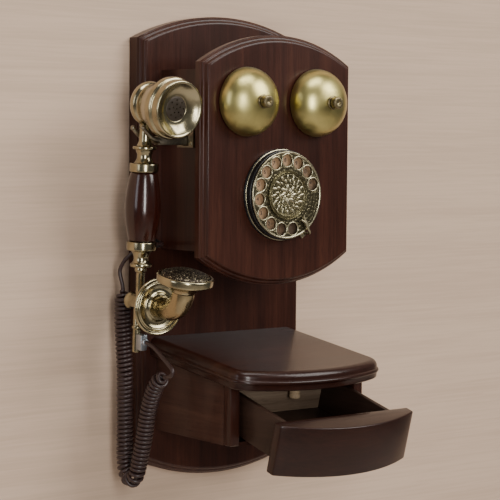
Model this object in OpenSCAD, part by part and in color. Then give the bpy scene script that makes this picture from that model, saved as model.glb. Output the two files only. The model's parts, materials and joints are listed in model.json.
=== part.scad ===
// Wooden wall telephone: a backboard with a bell box, a rotary dial, a handset
// on a side hook, and a sloped writing shelf over a small drawer.
// Origin: on the wall plane, midway between the two hanger holes.
// +Z is up, the wall is the plane y = 0 and the front faces -Y. Millimetres.

/* [Backboard] */
// Width of the backboard
board_w = 185.8; // [150:0.1:220]
// Thickness of the backboard
board_t = 19.2; // [12:0.1:25]
// Height of the backboard's upper corners
board_top = 53.3; // [40:0.1:70]
// Height of the middle of the upper arch
board_apex = 74.8; // [60:0.1:90]
// Height of the backboard's lower corners
board_low = -329.2; // [-340:0.1:-320]
// Height of the middle of the lower arch
board_foot = -350; // [-360:0.1:-340]
// Width of the moulding round the edge
moulding = 6; // [3:0.5:9]
// Distance between the two hanger holes
hanger_gap = 110; // [80:1:130]
// Radius of a hanger hole
hanger_r = 4.5; // [3:0.1:6]

/* [Bell box] */
// Width of the box
box_w = 141.2; // [120:0.1:170]
// Thickness of the box's boards
box_t = 9; // [6:0.5:12]
// Height of the box's top
box_top = 24.3; // [10:0.1:40]
// Height of the box's bottom
box_low = -136.8; // [-160:0.1:-110]
// Distance from the wall to the back of the front panel
box_d = 89.5; // [60:0.1:110]
// Width of the front panel
panel_w = 168.4; // [145:0.1:190]
// Thickness of the front panel
panel_t = 13.5; // [9:0.1:18]
// Height of the panel's upper corners
panel_top = 29.9; // [20:0.1:40]
// Height of the middle of the panel's upper arch
panel_apex = 55.3; // [45:0.1:65]
// Height of the panel's lower corners
panel_low = -140.9; // [-150:0.1:-130]
// Height of the middle of the panel's lower arch
panel_foot = -167.6; // [-180:0.1:-155]

/* [Bells] */
// Distance from the middle to a bell's centre
bell_x = 39.3; // [34:0.1:45]
// Height of the bells' centres
bell_z = -4.4; // [-20:0.1:10]
// Radius of a bell
bell_r = 30.5; // [25:0.1:35]
// Depth of a bell
bell_d = 23.6; // [18:0.1:30]
// Thickness of a bell's metal
bell_wall = 1.4; // [1:0.1:2]
// Gap between a bell's rim and the panel
bell_gap = 2.4; // [1:0.1:4]

/* [Dial] */
// Height of the dial's centre
dial_z = -86.6; // [-100:0.1:-70]
// Radius of the finger wheel
wheel_r = 39; // [35:0.1:42]
// Distance from the panel to the finger wheel's face
wheel_front = 11.2; // [9:0.1:14]
// Number of finger holes
holes = 12; // [10:1:12]
// Radius of a finger hole
hole_r = 5.3; // [4.5:0.1:6]
// Radius of the circle that the finger holes lie on
hole_circle = 30.9; // [28:0.1:33]
// Angle from one finger hole to the next
hole_step = 24.1; // [20:0.1:28]
// Angle of the first finger hole
hole_start = 17.7; // [0:0.1:40]
// Angle of the finger stop
stop_angle = -54; // [-70:1:-30]

/* [Shelf and cabinet] */
// Height of the shelf's top where it meets the backboard
shelf_z = -217.1; // [-230:0.1:-200]
// Slope of the shelf
shelf_slope = 7.8; // [0:0.1:15]
// Thickness of the shelf
shelf_t = 16.5; // [10:0.5:20]
// Half width of the shelf over its moulding
shelf_half = 83.5; // [75:0.1:90]
// Distance down the slope to the shelf's front corners
shelf_side = 133; // [110:0.5:150]
// Distance down the slope to the middle of the bowed front
shelf_nose = 153; // [130:0.5:170]
// Half width of the cabinet
cabinet_half = 75; // [65:0.1:80]
// Height of the cabinet's bottom
cabinet_low = -302.5; // [-310:0.1:-290]
// Distance from the wall to the front of the cabinet
cabinet_front = 132; // [110:0.5:145]
// Width of the posts at the front of the cabinet
stile_w = 10; // [6:0.5:14]

/* [Drawer] */
// Half width of the drawer's box
drawer_half = 60.6; // [50:0.1:64]
// Height of the drawer's sides
drawer_h = 35.6; // [25:0.1:40]
// Depth of the drawer's box
drawer_d = 98; // [80:0.5:105]
// Half width of the drawer's front
front_half = 74.5; // [65:0.1:75]
// Height of the drawer's front
front_h = 45; // [38:0.1:50]
// Thickness of the drawer's front at its ends
front_end = 9; // [6:0.1:12]
// How far the front bows out past its ends
front_bow = 17.9; // [8:0.1:22]
// Angle that the open drawer droops by
drawer_tip = 14.8; // [0:0.1:20]

/* [Hook] */
// Distance from the wall to the hook's centre line
hook_y = 58.3; // [50:0.1:70]
// Height of the hook's arm
hook_z = -39; // [-45:0.1:-30]
// Distance from the hook's centre line to each prong
prong_y = 8; // [7:0.1:10]

/* [Handset] */
// Sideways place of the handset
set_x = -115; // [-125:0.5:-105]
// Distance from the wall to the handset
set_y = 57.9; // [50:0.1:65]
// Height of the flange under the receiver
set_z = -45.4; // [-50:0.1:-40]
// Angle that the hanging handset leans back by
set_lean = 3; // [0:0.5:8]
// Height of the receiver's axis over the flange
ear_z = 39.2; // [35:0.1:45]
// Downward tilt of the receiver's axis
ear_tilt = 4.5; // [0:0.5:10]
// Turn of the receiver towards the box
ear_turn = 4; // [-10:0.5:10]
// Radius of the receiver's outer ring
ear_r = 27; // [24:0.1:30]
// Greatest radius of the wooden handle
handle_r = 16; // [13:0.1:18]
// Depth of the rosette's axis under the flange
rosette_z = -136; // [-145:0.1:-130]
// Radius of the rosette
rosette_r = 25.4; // [22:0.1:28]
// Radius of the horn's pipe
horn_r = 10; // [7:0.1:12]
// Radius of the bend in the horn
horn_bend = 20; // [15:0.5:25]
// Angle of the bend in the horn
horn_angle = 81; // [60:1:90]
// Radius of the mouthpiece
mouth_r = 24.5; // [20:0.1:27]

/* [Cord] */
// Diameter of the cord
cord_dia = 3.6; // [3:0.1:5]
// Outer diameter of the coils
coil_dia = 14; // [10:0.1:16]

/* [Hidden] */
panel_y = -box_d;
face_y = -box_d - panel_t;
stile_y = -cabinet_front;
wheel_y = face_y - wheel_front;
wheel_t = 2;
fit = 0.05;
sheet = 1.6;
jack = [-80, -board_t, -132];
set_origin = [set_x, -set_y, set_z];
drawer_low = -296.8;
drawer_pole = [0, -103.6, -497.3];
drawer_gap = 0.5;
drawer_over = 3.4;
drawer_wall = 5;
drawer_floor = 3;
drawer_back_t = 4;
sill_t = 3.3;
peg = [16, -107.2];
pivot_x = -52;
ringer_z = -50;
hammer_x = 16;
// Route of the cord: from the jack, down in coils, and up to the handset
lead_top = [[-80, -30, -132], [-80, -36, -132], [-85, -40, -131], [-94, -41, -132],
            [-103, -38, -134], [-110, -33, -138], [-115, -26, -146], [-117, -21, -155],
            [-116, -23, -164], [-115, -24, -168], [-115, -24, -171]];
coil_route = [[-115, -24, -171], [-115, -24, -182], [-115, -24, -199], [-115, -26, -226],
              [-115, -28, -244], [-115, -28, -266], [-115, -28, -289], [-115, -28, -306],
              [-115, -28, -322], [-115, -29, -331], [-115, -32, -338], [-115, -38, -342],
              [-115, -44, -339], [-115, -48, -333], [-115, -52, -321], [-115, -57, -307],
              [-115, -61, -292], [-115, -65, -276], [-115, -71, -262], [-115, -78, -251],
              [-115, -85, -245.5], [-115, -92, -243.6]];
lead_low = [[-115, -92, -243.6], [-115, -96.2, -242.46], [-115, -100.2, -241.35],
            [-115, -101.74, -240.45], [-115, -102.65, -238.89], [-115, -102.65, -237.07],
            [-115, -101.95, -235.73], [-115, -96.3, -232.6], [-115, -91.7, -229.9],
            [-115, -85.6, -226.3], [-115, -79.5, -222.7], [-115, -73.3, -219.5],
            [-115, -67.5, -217], [-115, -61.2, -216]];

// ---- shared shapes ----

function arc(w, corner, apex, n = 24) =
    let (s = apex - corner, r = (w * w / 4 + s * s) / (2 * s), half = asin(w / 2 / r))
    [for (i = [0:n]) let (a = half * (1 - 2 * i / n)) [r * sin(a), apex - r + r * cos(a)]];

module arched(w, low, foot, top, apex) {
    lower = arc(w, low, foot);
    polygon(concat(arc(w, top, apex), [for (i = [len(lower) - 1:-1:0]) lower[i]]));
}

// Puts a shape drawn on the ground to face the front: up becomes -Y
module to_front(x, y, z) {
    translate([x, y, z]) rotate([90, 0, 0]) children();
}

// A slab in steps from the back to the front: each step is [start, end, inset]
module stepped(steps) {
    for (s = steps)
        translate([0, 0, s[0]])
            linear_extrude(s[1] - s[0]) offset(delta = -s[2]) children();
}

module prism_x(x0, x1, points) {
    translate([x0, 0, 0]) rotate([90, 0, 90]) linear_extrude(x1 - x0) polygon(points);
}

module block(low, high) {
    translate(low) cube(high - low);
}

// ---- backboard ----

module backboard() {
    color([0.22, 0.12, 0.09])
    difference() {
        to_front(0, 0, 0)
            stepped([[0, 13.5, 0], [13.5, 15.5, 1], [15.5, 17.5, 3], [17.5, board_t, moulding]])
                arched(board_w, board_low, board_foot, board_top, board_apex);
        for (side = [-1, 1]) translate([side * hanger_gap / 2, 0, 0]) {
            block([-15, -sheet, -10], [15, 1, 16]);
            block([-10, -11, -8], [10, 1, 14]);
        }
    }
}

module hanger_plate(side) {
    color([0.7, 0.7, 0.68])
    translate([side * hanger_gap / 2, 0, 0])
    difference() {
        block([-15, -sheet, -10], [15, 0, 16]);
        to_front(0, 1, 0) cylinder(r = hanger_r, h = 5, $fn = 48);
        block([-2, -3, 3], [2, 1, 10]);
    }
}

// ---- bell box ----

module box_side(side) {
    inner = box_w / 2 - box_t;
    color([0.25, 0.14, 0.1])
    difference() {
        block([side < 0 ? -box_w / 2 : inner, panel_y, box_low],
              [side < 0 ? -inner : box_w / 2, -board_t, box_top]);
        if (side < 0) hook_slot();
    }
}

module hook_slot() {
    block([-box_w / 2 - 5, -hook_y - 4.2, hook_z - 4.6],
          [-box_w / 2 + box_t + 5, -hook_y + 4.2, hook_z + 9]);
}

module box_board(low, high) {
    inner = box_w / 2 - box_t;
    color([0.25, 0.14, 0.1])
    block([-inner, panel_y, low], [inner, -board_t, high]);
}

module front_panel() {
    color([0.24, 0.13, 0.1])
    difference() {
        to_front(0, panel_y, 0)
            stepped([[0, 8, 0], [8, 10, 1], [10, 12, 3], [12, panel_t, moulding]])
                arched(panel_w, panel_low, panel_foot, panel_top, panel_apex);
        to_front(0, panel_y + 1, dial_z) cylinder(r = 28.3, h = panel_t + 2, $fn = 64);
        for (side = [-1, 1])
            block([side * hammer_x - 5, face_y - 1, bell_z - 4.5],
                  [side * hammer_x + 5, panel_y + 1, bell_z + 4.5]);
    }
}

// ---- bells ----

function bell_arc(r, d, n = 12) =
    let (top = acos(3.2 / r)) [for (i = [0:n]) [r * cos(top * i / n), d * sin(top * i / n)]];

module bell(side) {
    outer = bell_arc(bell_r, bell_d);
    inner = bell_arc(bell_r - bell_wall, bell_d - bell_wall);
    color([0.55, 0.47, 0.3])
    to_front(side * bell_x, face_y - bell_gap, bell_z)
        rotate_extrude($fn = 56)
            polygon(concat(outer, [for (i = [len(inner) - 1:-1:0]) inner[i]]));
}

module bell_post(side) {
    color([0.5, 0.43, 0.3])
    to_front(side * bell_x, face_y, bell_z) {
        cylinder(r = 7, h = 3, $fn = 32);
        cylinder(r = 4.5, h = bell_gap + bell_d - bell_wall - 0.3, $fn = 32);
        cylinder(r = 3, h = 32, $fn = 32);
    }
}

module bell_nut(side) {
    color([0.5, 0.42, 0.25])
    to_front(side * bell_x, face_y - bell_gap - bell_d, bell_z)
    difference() {
        union() {
            cylinder(r = 6, h = 1.2, $fn = 40);
            cylinder(r = 5.3, h = 7.4, $fn = 40);
            translate([0, 0, 7.4]) cylinder(r1 = 5.3, r2 = 4.3, h = 0.9, $fn = 40);
        }
        translate([0, 0, -1]) cylinder(r = 3.02, h = 7.2, $fn = 32);
        translate([0, 0, 7]) cylinder(r = 1.6, h = 2, $fn = 24);
    }
}

// ---- dial ----

module dial_base() {
    color([0.08, 0.08, 0.08])
    to_front(0, face_y, dial_z)
        rotate_extrude($fn = 72)
            polygon([[30, 0], [41, 0], [41, 2], [40.2, 2.6], [40.2, 7], [39.8, 8.6],
                     [37.6, 8.6], [37.6, 2.2], [30, 2.2]]);
}

module number_plate() {
    color([0.35, 0.25, 0.17])
    to_front(0, face_y - 2.2, dial_z)
    difference() {
        union() {
            cylinder(r = 29.5, h = 3.6, $fn = 64);
            translate([0, 0, 3.4]) cylinder(r = 37.2, h = 1.8, $fn = 64);
        }
        translate([0, 0, -1]) cylinder(r = 4 + fit, h = 8, $fn = 40);
    }
}

module finger_wheel() {
    color([0.45, 0.4, 0.28])
    to_front(0, wheel_y + wheel_t, dial_z)
    difference() {
        cylinder(r = wheel_r, h = wheel_t, $fn = 72);
        for (i = [0:holes - 1])
            rotate(hole_start + i * hole_step)
                translate([hole_circle, 0, -1]) cylinder(r = hole_r, h = wheel_t + 2, $fn = 24);
    }
}

module dial_medallion() {
    color([0.5, 0.45, 0.32])
    to_front(0, wheel_y, dial_z)
        rotate_extrude($fn = 56)
            polygon([[0, 0], [21.8, 0], [21.8, 1], [21.2, 1.7], [20.4, 1.7], [19.8, 1],
                     [13, 1], [8, 1.4], [0, 1.8]]);
}

module dial_shaft() {
    color([0.6, 0.6, 0.6])
    to_front(0, wheel_y + wheel_t, dial_z) mirror([0, 0, 1]) {
        cylinder(r = 4, h = 33.5, $fn = 40);
        translate([0, 0, 20]) cylinder(r = 16, h = 3, $fn = 48);
    }
}

module finger_stop() {
    color([0.5, 0.45, 0.32])
    to_front(0, face_y, dial_z) rotate(stop_angle) {
        block([41.3, -3, 0], [47, 3, 1.6]);
        block([41.3, -2.5, 0], [42.8, 2.5, 14]);
        hull() {
            block([39, -2.5, 12.6], [42.8, 2.5, 14]);
            translate([25, 0, 12.6]) cylinder(r = 1.4, h = 1.4, $fn = 20);
        }
    }
}

module dial_case() {
    color([0.4, 0.4, 0.4])
    to_front(0, -76, dial_z)
    difference() {
        union() {
            cylinder(r = 28, h = -face_y - 76 + 2.2, $fn = 64);
            translate([0, 0, -face_y - 76]) cylinder(r = 29.9, h = 2.2, $fn = 64);
        }
        translate([0, 0, 2]) cylinder(r = 26.5, h = 40, $fn = 64);
    }
}

// ---- ringer ----

module ringer_frame() {
    color([0.55, 0.55, 0.52])
    difference() {
        union() {
            block([-26, -78, -56], [26, -76, 14]);
            for (x = [-22, 22])
                to_front(x, -78, 8) cylinder(r = 3, h = box_d - 78, $fn = 24);
            for (x = [-22, 22])
                to_front(x, -78, ringer_z) cylinder(r = 3, h = box_d - 78, $fn = 24);
            to_front(0, -78, ringer_z) cylinder(r = 2, h = 10.4, $fn = 32);
        }
    }
}

module ringer_coil(side) {
    color([0.5, 0.25, 0.12])
    translate([side * 14, -76, -20]) rotate([-90, 0, 0]) {
        cylinder(r = 9.5, h = 2, $fn = 32);
        cylinder(r = 8, h = 24, $fn = 32);
        translate([0, 0, 22]) cylinder(r = 9.5, h = 2, $fn = 32);
    }
}

module striker() {
    color([0.6, 0.5, 0.3])
    difference() {
        union() {
            to_front(0, -82, ringer_z) cylinder(r = 5, h = 4, $fn = 32);
            block([-2.5, -86, ringer_z + 4], [2.5, -83, bell_z + 3]);
            block([-hammer_x - 2.5, -86, bell_z - 3], [hammer_x + 2.5, -83, bell_z + 3]);
            for (side = [-1, 1]) to_front(side * hammer_x, -86, bell_z) {
                cylinder(r = 1.8, h = 22, $fn = 20);
                translate([0, 0, 23]) sphere(r = 3, $fn = 24);
            }
        }
        to_front(0, -81, ringer_z) cylinder(r = 2 + fit, h = 7, $fn = 32);
    }
}

module circuit_board() {
    color([0.15, 0.35, 0.2])
    union() {
        block([-20, -25.8, -124], [50, -24.2, -66]);
        for (x = [-16, 46]) for (z = [-120, -70])
            to_front(x, -board_t, z) cylinder(r = 3, h = 5, $fn = 20);
        block([-10, -32, -112], [6, -25.8, -100]);
        block([14, -30, -104], [34, -25.8, -92]);
        to_front(36, -25.8, -80) cylinder(r = 5, h = 12, $fn = 24);
        to_front(18, -25.8, -78) cylinder(r = 4, h = 9, $fn = 24);
    }
}

// ---- hook ----

module hook_plate() {
    color([0.5, 0.45, 0.33])
    difference() {
        block([-box_w / 2 - sheet, -hook_y - 12.3, hook_z - 6],
              [-box_w / 2, -hook_y + 12.3, hook_z + 34]);
        hook_slot();
    }
}

module hook_bracket() {
    wall = -box_w / 2 + box_t;
    color([0.55, 0.55, 0.52])
    difference() {
        union() {
            block([wall, -hook_y - 12, hook_z - 25], [wall + 2, -hook_y + 12, hook_z + 13]);
            for (side = [-1, 1])
                translate([0, -hook_y + side * 6, 0])
                    block([wall + 2, -1, hook_z - 5.5], [pivot_x + 5, 1, hook_z + 6]);
        }
        hook_slot();
        to_front(pivot_x, -hook_y + 10, hook_z) cylinder(r = 2.02, h = 20, $fn = 32);
    }
}

module hook_pin() {
    color([0.7, 0.7, 0.7])
    to_front(pivot_x, -hook_y + 8, hook_z) cylinder(r = 2, h = 16, $fn = 32);
}

module hook_lever() {
    fork_x = set_x + 11;
    tip = [set_x - 7.5, hook_z + 11];
    color([0.32, 0.28, 0.2])
    difference() {
        union() {
            block([fork_x, -hook_y - 3.5, hook_z - 4], [pivot_x + 14, -hook_y + 3.5, hook_z + 4]);
            block([fork_x - 2, -hook_y - prong_y - 2.2, hook_z - 3],
                  [fork_x + 2.4, -hook_y + prong_y + 2.2, hook_z + 3]);
            for (side = [-1, 1]) translate([0, -hook_y + side * prong_y, 0]) {
                hull() {
                    translate([fork_x, 0, hook_z]) sphere(r = 2.2, $fn = 20);
                    translate([tip[0], 0, tip[1]]) sphere(r = 1.9, $fn = 20);
                }
                translate([tip[0], 0, tip[1]]) sphere(r = 2.3, $fn = 24);
            }
        }
        to_front(pivot_x, -hook_y + 10, hook_z) cylinder(r = 2 + fit, h = 20, $fn = 32);
    }
}

module hook_switch() {
    wall = -box_w / 2 + box_t + 2;
    color([0.1, 0.1, 0.12])
    block([wall, -hook_y - 4.8, hook_z - 22], [-39, -hook_y + 4.8, hook_z - 6.3]);
}

// ---- jacks ----

module cord_jack() {
    color([0.12, 0.12, 0.12])
    to_front(jack[0], jack[1], jack[2]) {
        cylinder(r = 5.2, h = 3.2, $fn = 32);
        cylinder(r1 = 3.8, r2 = 2.8, h = 10.8, $fn = 32);
    }
}

module line_jack() {
    color([0.85, 0.83, 0.76])
    translate([40, -34, box_low])
    difference() {
        block([-9, -8, -12], [9, 8, 0]);
        block([-6, -5, -13], [6, 5, -3]);
    }
}

// ---- shelf and cabinet ----

function shelf_under(y) =
    shelf_z - (-y - board_t) * tan(shelf_slope) - shelf_t / cos(shelf_slope) - 0.05;

module shelf_outline() {
    polygon(concat([for (p = arc(2 * shelf_half, shelf_side, shelf_nose)) [p[0], -p[1]]],
                   [[-shelf_half, 20], [shelf_half, 20]]));
}

module shelf() {
    color([0.23, 0.12, 0.09])
    difference() {
        translate([0, -board_t, shelf_z]) rotate([shelf_slope, 0, 0])
            translate([0, 0, -shelf_t])
                stepped([[0, 7, 3], [7, 12.5, 0], [12.5, 14.5, 1.5], [14.5, shelf_t, 4]])
                    shelf_outline();
        block([-100, -board_t, -300], [100, 20, -150]);
    }
}

module cabinet_side(side) {
    inner = cabinet_half - stile_w;
    back = stile_y + 10;
    color([0.23, 0.12, 0.09])
    prism_x(side < 0 ? -cabinet_half : inner, side < 0 ? -inner : cabinet_half,
            [[-board_t, cabinet_low], [back, cabinet_low],
             [back, shelf_under(back)], [-board_t, shelf_under(-board_t)]]);
}

module stile(side) {
    inner = cabinet_half - stile_w;
    back = stile_y + 10;
    color([0.25, 0.14, 0.1])
    prism_x(side < 0 ? -cabinet_half : inner, side < 0 ? -inner : cabinet_half,
            [[back, cabinet_low], [stile_y, cabinet_low],
             [stile_y, shelf_under(stile_y)], [back, shelf_under(back)]]);
}

module cabinet_bottom() {
    inner = cabinet_half - stile_w;
    color([0.2, 0.11, 0.08])
    block([-inner, stile_y, cabinet_low], [inner, -board_t, cabinet_low + sill_t]);
}

module stop_peg() {
    color([0.7, 0.58, 0.42])
    difference() {
        translate([peg[0], peg[1], -270.6]) cylinder(r = 5, h = 40, $fn = 32);
        prism_x(peg[0] - 10, peg[0] + 10,
                [[-board_t, shelf_under(-board_t)], [stile_y, shelf_under(stile_y)],
                 [stile_y, -200], [-board_t, -200]]);
    }
}

// ---- drawer ----

// Turns the closed drawer about its far pole to where it hangs open
module drawer_open() {
    translate(drawer_pole) rotate([drawer_tip, 0, 0]) translate(-drawer_pole) children();
}

module drawer_front() {
    back = stile_y - drawer_gap;
    bow = [for (p = arc(2 * front_half, front_end, front_end + front_bow)) [p[0], -p[1]]];
    color([0.24, 0.13, 0.09])
    drawer_open()
        translate([0, back, drawer_low + drawer_h + drawer_over - front_h])
            linear_extrude(front_h)
                polygon(concat(bow, [[-front_half, 0], [front_half, 0]]));
}

module drawer_side(side) {
    back = stile_y - drawer_gap;
    inner = drawer_half - drawer_wall;
    color([0.3, 0.18, 0.12])
    drawer_open()
        block([side < 0 ? -drawer_half : inner, back, drawer_low],
              [side < 0 ? -inner : drawer_half, back + drawer_d, drawer_low + drawer_h]);
}

module drawer_back() {
    back = stile_y - drawer_gap + drawer_d;
    inner = drawer_half - drawer_wall;
    color([0.42, 0.27, 0.17])
    drawer_open()
        block([-inner, back - drawer_back_t, drawer_low + drawer_floor],
              [inner, back, drawer_low + drawer_h]);
}

module drawer_bottom() {
    back = stile_y - drawer_gap;
    inner = drawer_half - drawer_wall;
    color([0.3, 0.18, 0.12])
    drawer_open()
        block([-inner, back, drawer_low],
              [inner, back + drawer_d, drawer_low + drawer_floor]);
}

// ---- handset, drawn upright with its flange at the origin ----

module in_handset() {
    translate(set_origin) rotate([set_lean, 0, 0]) children();
}

// The receiver's own frame: up is the way the receiver faces
module in_receiver() {
    in_handset() translate([0, 0, ear_z]) rotate([0, 0, ear_turn])
        rotate([90 + ear_tilt, 0, 0]) children();
}

module receiver_body() {
    color([0.5, 0.46, 0.33])
    difference() {
        in_receiver() rotate_extrude($fn = 48)
            polygon([[0, -6.5], [8, -5.8], [14.5, -3.2], [18.3, 0], [19.8, 3.5], [19, 6.5],
                     [17, 8.5], [17.4, 11], [20, 17], [23, 25], [24.3, 29], [24.3, 31],
                     [22.3, 31], [21, 26], [18, 17.5], [15, 9], [13, 4], [0, 0]]);
        in_handset() translate([0, 0, 10]) cylinder(r = 5.3, h = 15, $fn = 32);
    }
}

module ear_cap() {
    color([0.6, 0.56, 0.42])
    in_receiver() translate([0, 0, 31]) difference() {
        rotate_extrude($fn = 56)
            polygon([[0, 10.2], [11, 10.6], [11.6, 11.2], [18, 13], [22.5, 15.4], [24.2, 16],
                     [25, 15.2], [25.4, 9], [24.6, 8.4], [24.6, 7.6], [26.6, 7], [ear_r, 5.5],
                     [ear_r, 1.5], [26, 0], [22, 0], [22, 8.5], [0, 8.5]]);
        for (i = [0:5]) rotate(i * 60) translate([7.6, 0, 7]) cylinder(r = 0.9, h = 6, $fn = 16);
        translate([0, 0, 7]) cylinder(r = 0.9, h = 6, $fn = 16);
    }
}

module speaker_capsule() {
    color([0.2, 0.2, 0.22])
    in_receiver() translate([0, 0, 31]) cylinder(r = 21.9, h = 8.4, $fn = 40);
}

module neck_upper() {
    color([0.5, 0.46, 0.33])
    in_handset() rotate_extrude($fn = 40)
        polygon([[0, 24], [5.3, 24], [5.3, 6], [6.5, 3], [7.5, 1.8], [10.4, 1.3], [10.7, 0],
                 [10.4, -1.3], [7.8, -1.6], [7.6, -3.4], [6.3, -6], [6.6, -9], [7.8, -11.6],
                 [9, -13.2], [12.4, -13.4], [12.8, -14.2], [12.8, -20.4], [12.2, -21.1],
                 [0, -21.1]]);
}

module handle() {
    color([0.27, 0.1, 0.06])
    in_handset() rotate_extrude($fn = 48)
        polygon([[0, -21.1], [11.6, -21.1], [12.6, -25], [13.9, -31], [15.1, -39], [15.8, -46],
                 [handle_r, -52], [15.8, -58], [15, -65], [13.6, -73], [12.2, -79],
                 [11.6, -82.1], [0, -82.1]]);
}

module neck_lower() {
    color([0.5, 0.46, 0.33])
    in_handset() {
        rotate_extrude($fn = 40)
            polygon([[0, -82.1], [12.6, -82.1], [13.2, -82.8], [13.2, -89.2], [12.6, -89.9],
                     [9.6, -90.2], [8, -92.5], [6.6, -96], [6.8, -99], [8.2, -101.2],
                     [9.6, -101.6], [9.9, -103], [9.6, -104.6], [5, -105], [5.6, -107],
                     [5, -109], [3.9, -109.4], [3.9, -131], [0, -131]]);
        translate([0, 16, rosette_z]) rotate([90, 0, 0]) rotate_extrude($fn = 36)
            polygon([[0, 0], [5, 0.4], [8, 2.5], [8.4, 5], [7, 6.5], [7, 40], [10, 43],
                     [0, 43]]);
        translate([0, 3, rosette_z - 45]) {
            cylinder(r = 3.7, h = 42, $fn = 28);
            translate([0, 0, 21]) cylinder(r = 4.6, h = 3, $fn = 28);
        }
    }
}

module rosette() {
    color([0.55, 0.5, 0.37])
    in_handset() translate([0, -27, rosette_z]) rotate([90, 0, 0]) rotate_extrude($fn = 56)
        polygon([[0, 0], [23, 0], [25, 0.8], [rosette_r, 2.4], [24.8, 3.8], [23.4, 3.4],
                 [22.6, 2.6], [20.6, 4.2], [19, 3.4], [14, 2.6], [11.4, 3.6], [10.6, 4.6],
                 [0, 4.6]]);
}

module horn() {
    start = -31.6;
    color([0.52, 0.47, 0.34])
    in_handset() {
        translate([0, start, rosette_z]) rotate([90, 0, 0]) cylinder(r = horn_r, h = 14, $fn = 36);
        translate([0, start - 14, rosette_z + horn_bend]) rotate([0, 90, 0])
            rotate_extrude(angle = -horn_angle, $fn = 72)
                translate([horn_bend, 0]) circle(r = horn_r, $fn = 36);
    }
}

// The mouthpiece's own frame: up is along the end of the horn
module in_mouth() {
    lean = 90 - horn_angle;
    in_handset() translate([0, -45.6, rosette_z + horn_bend])
        translate([0, -horn_bend * sin(horn_angle), -horn_bend * cos(horn_angle)])
            rotate([lean, 0, 0]) children();
}

module mouth_cup() {
    color([0.6, 0.55, 0.4])
    in_mouth() rotate_extrude($fn = 56)
        polygon([[0, 0], [10.4, 0], [11.4, 1.6], [13, 4], [16.5, 6.6], [21.6, 8], [24, 8.2],
                 [mouth_r, 9], [mouth_r, 14.6], [23.8, 15.4], [21.8, 15.4], [21.4, 14.6],
                 [21.4, 11], [0, 11]]);
}

module mouth_grille() {
    color([0.35, 0.32, 0.24])
    in_mouth() difference() {
        translate([0, 0, 11]) rotate_extrude($fn = 48)
            polygon([[0, 0], [21, 0], [21, 3], [18, 4.6], [12, 6.3], [6, 7.2], [0, 7.5]]);
        for (i = [0:7]) rotate(i * 45) translate([12, 0, 14]) cylinder(r = 1, h = 6, $fn = 12);
        for (i = [0:5]) rotate(i * 60) translate([6.5, 0, 14]) cylinder(r = 1, h = 6, $fn = 12);
    }
}

module cord_clip() {
    color([0.62, 0.64, 0.66])
    in_handset() {
        block([-3.4, -9, -178], [3.4, -0.75, -164]);
        translate([0, -9, -170.3]) rotate([90 - set_lean, 0, 0]) cylinder(r = 3.2, h = 3, $fn = 28);
    }
}

// ---- cord ----

function unit(v) = v / norm(v);
function route_dir(p, i) =
    unit(p[min(i + 1, len(p) - 1)] - p[max(i - 1, 0)]);

// A tube swept along a route with a ring at each point
module tube(route, r, sides) {
    n = len(route);
    ring_points = [for (i = [0:n - 1])
        let (t = route_dir(route, i),
             side = unit(cross(t, abs(t[0]) > 0.9 ? [0, 0, 1] : [1, 0, 0])),
             up = cross(side, t))
        for (k = [0:sides - 1])
            route[i] + r * (cos(360 * k / sides) * side + sin(360 * k / sides) * up)];
    walls = [for (i = [0:n - 2]) for (k = [0:sides - 1])
        let (a = i * sides + k, b = i * sides + (k + 1) % sides)
        [a, b, b + sides, a + sides]];
    caps = [[for (k = [sides - 1:-1:0]) k], [for (k = [0:sides - 1]) (n - 1) * sides + k]];
    polyhedron(concat(ring_points), concat(walls, caps), convexity = 6);
}

module cord_lead_jack() {
    color([0.12, 0.08, 0.07]) tube(lead_top, cord_dia / 2, 8);
}

module cord_coil() {
    color([0.14, 0.09, 0.08]) tube(coil_route, coil_dia / 2, 12);
}

module cord_lead_clip() {
    color([0.12, 0.08, 0.07]) tube(lead_low, cord_dia / 2, 8);
}

backboard();
hanger_plate(-1);  // hanger_plate_left
hanger_plate(1);  // hanger_plate_right
box_side(-1);  // box_side_left
box_side(1);  // box_side_right
box_board(box_top - box_t, box_top);  // box_top_board
box_board(box_low, box_low + box_t);  // box_bottom_board
front_panel();
shelf();
cabinet_side(-1);  // cabinet_side_left
cabinet_side(1);  // cabinet_side_right
cabinet_bottom();
stile(-1);  // stile_left
stile(1);  // stile_right
stop_peg();
drawer_front();
drawer_side(-1);  // drawer_side_left
drawer_side(1);  // drawer_side_right
drawer_back();
drawer_bottom();
bell(-1);  // bell_left
bell(1);  // bell_right
bell_post(-1);  // bell_post_left
bell_post(1);  // bell_post_right
bell_nut(-1);  // bell_nut_left
bell_nut(1);  // bell_nut_right
dial_base();
number_plate();
finger_wheel();
dial_medallion();
dial_shaft();
finger_stop();
dial_case();
ringer_frame();
ringer_coil(-1);  // ringer_coil_left
ringer_coil(1);  // ringer_coil_right
striker();
circuit_board();
hook_plate();
hook_bracket();
hook_pin();
hook_lever();
hook_switch();
cord_jack();
line_jack();
receiver_body();
ear_cap();
speaker_capsule();
neck_upper();
handle();
neck_lower();
rosette();
horn();
mouth_cup();
mouth_grille();
cord_clip();
cord_lead_jack();
cord_coil();
cord_lead_clip();
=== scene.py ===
"""A wooden wall telephone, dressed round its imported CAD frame.

Shapes are made in millimetres in the row frame (x to the right, the wall at y = 0, the
front towards -y, z up) and written to their meshes in metres.
"""

import json
import logging
import math
from collections.abc import Iterable, Sequence
from dataclasses import dataclass
from enum import Enum
from typing import Any, ClassVar

import bmesh
import bpy
from mathutils import Matrix, Vector


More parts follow.
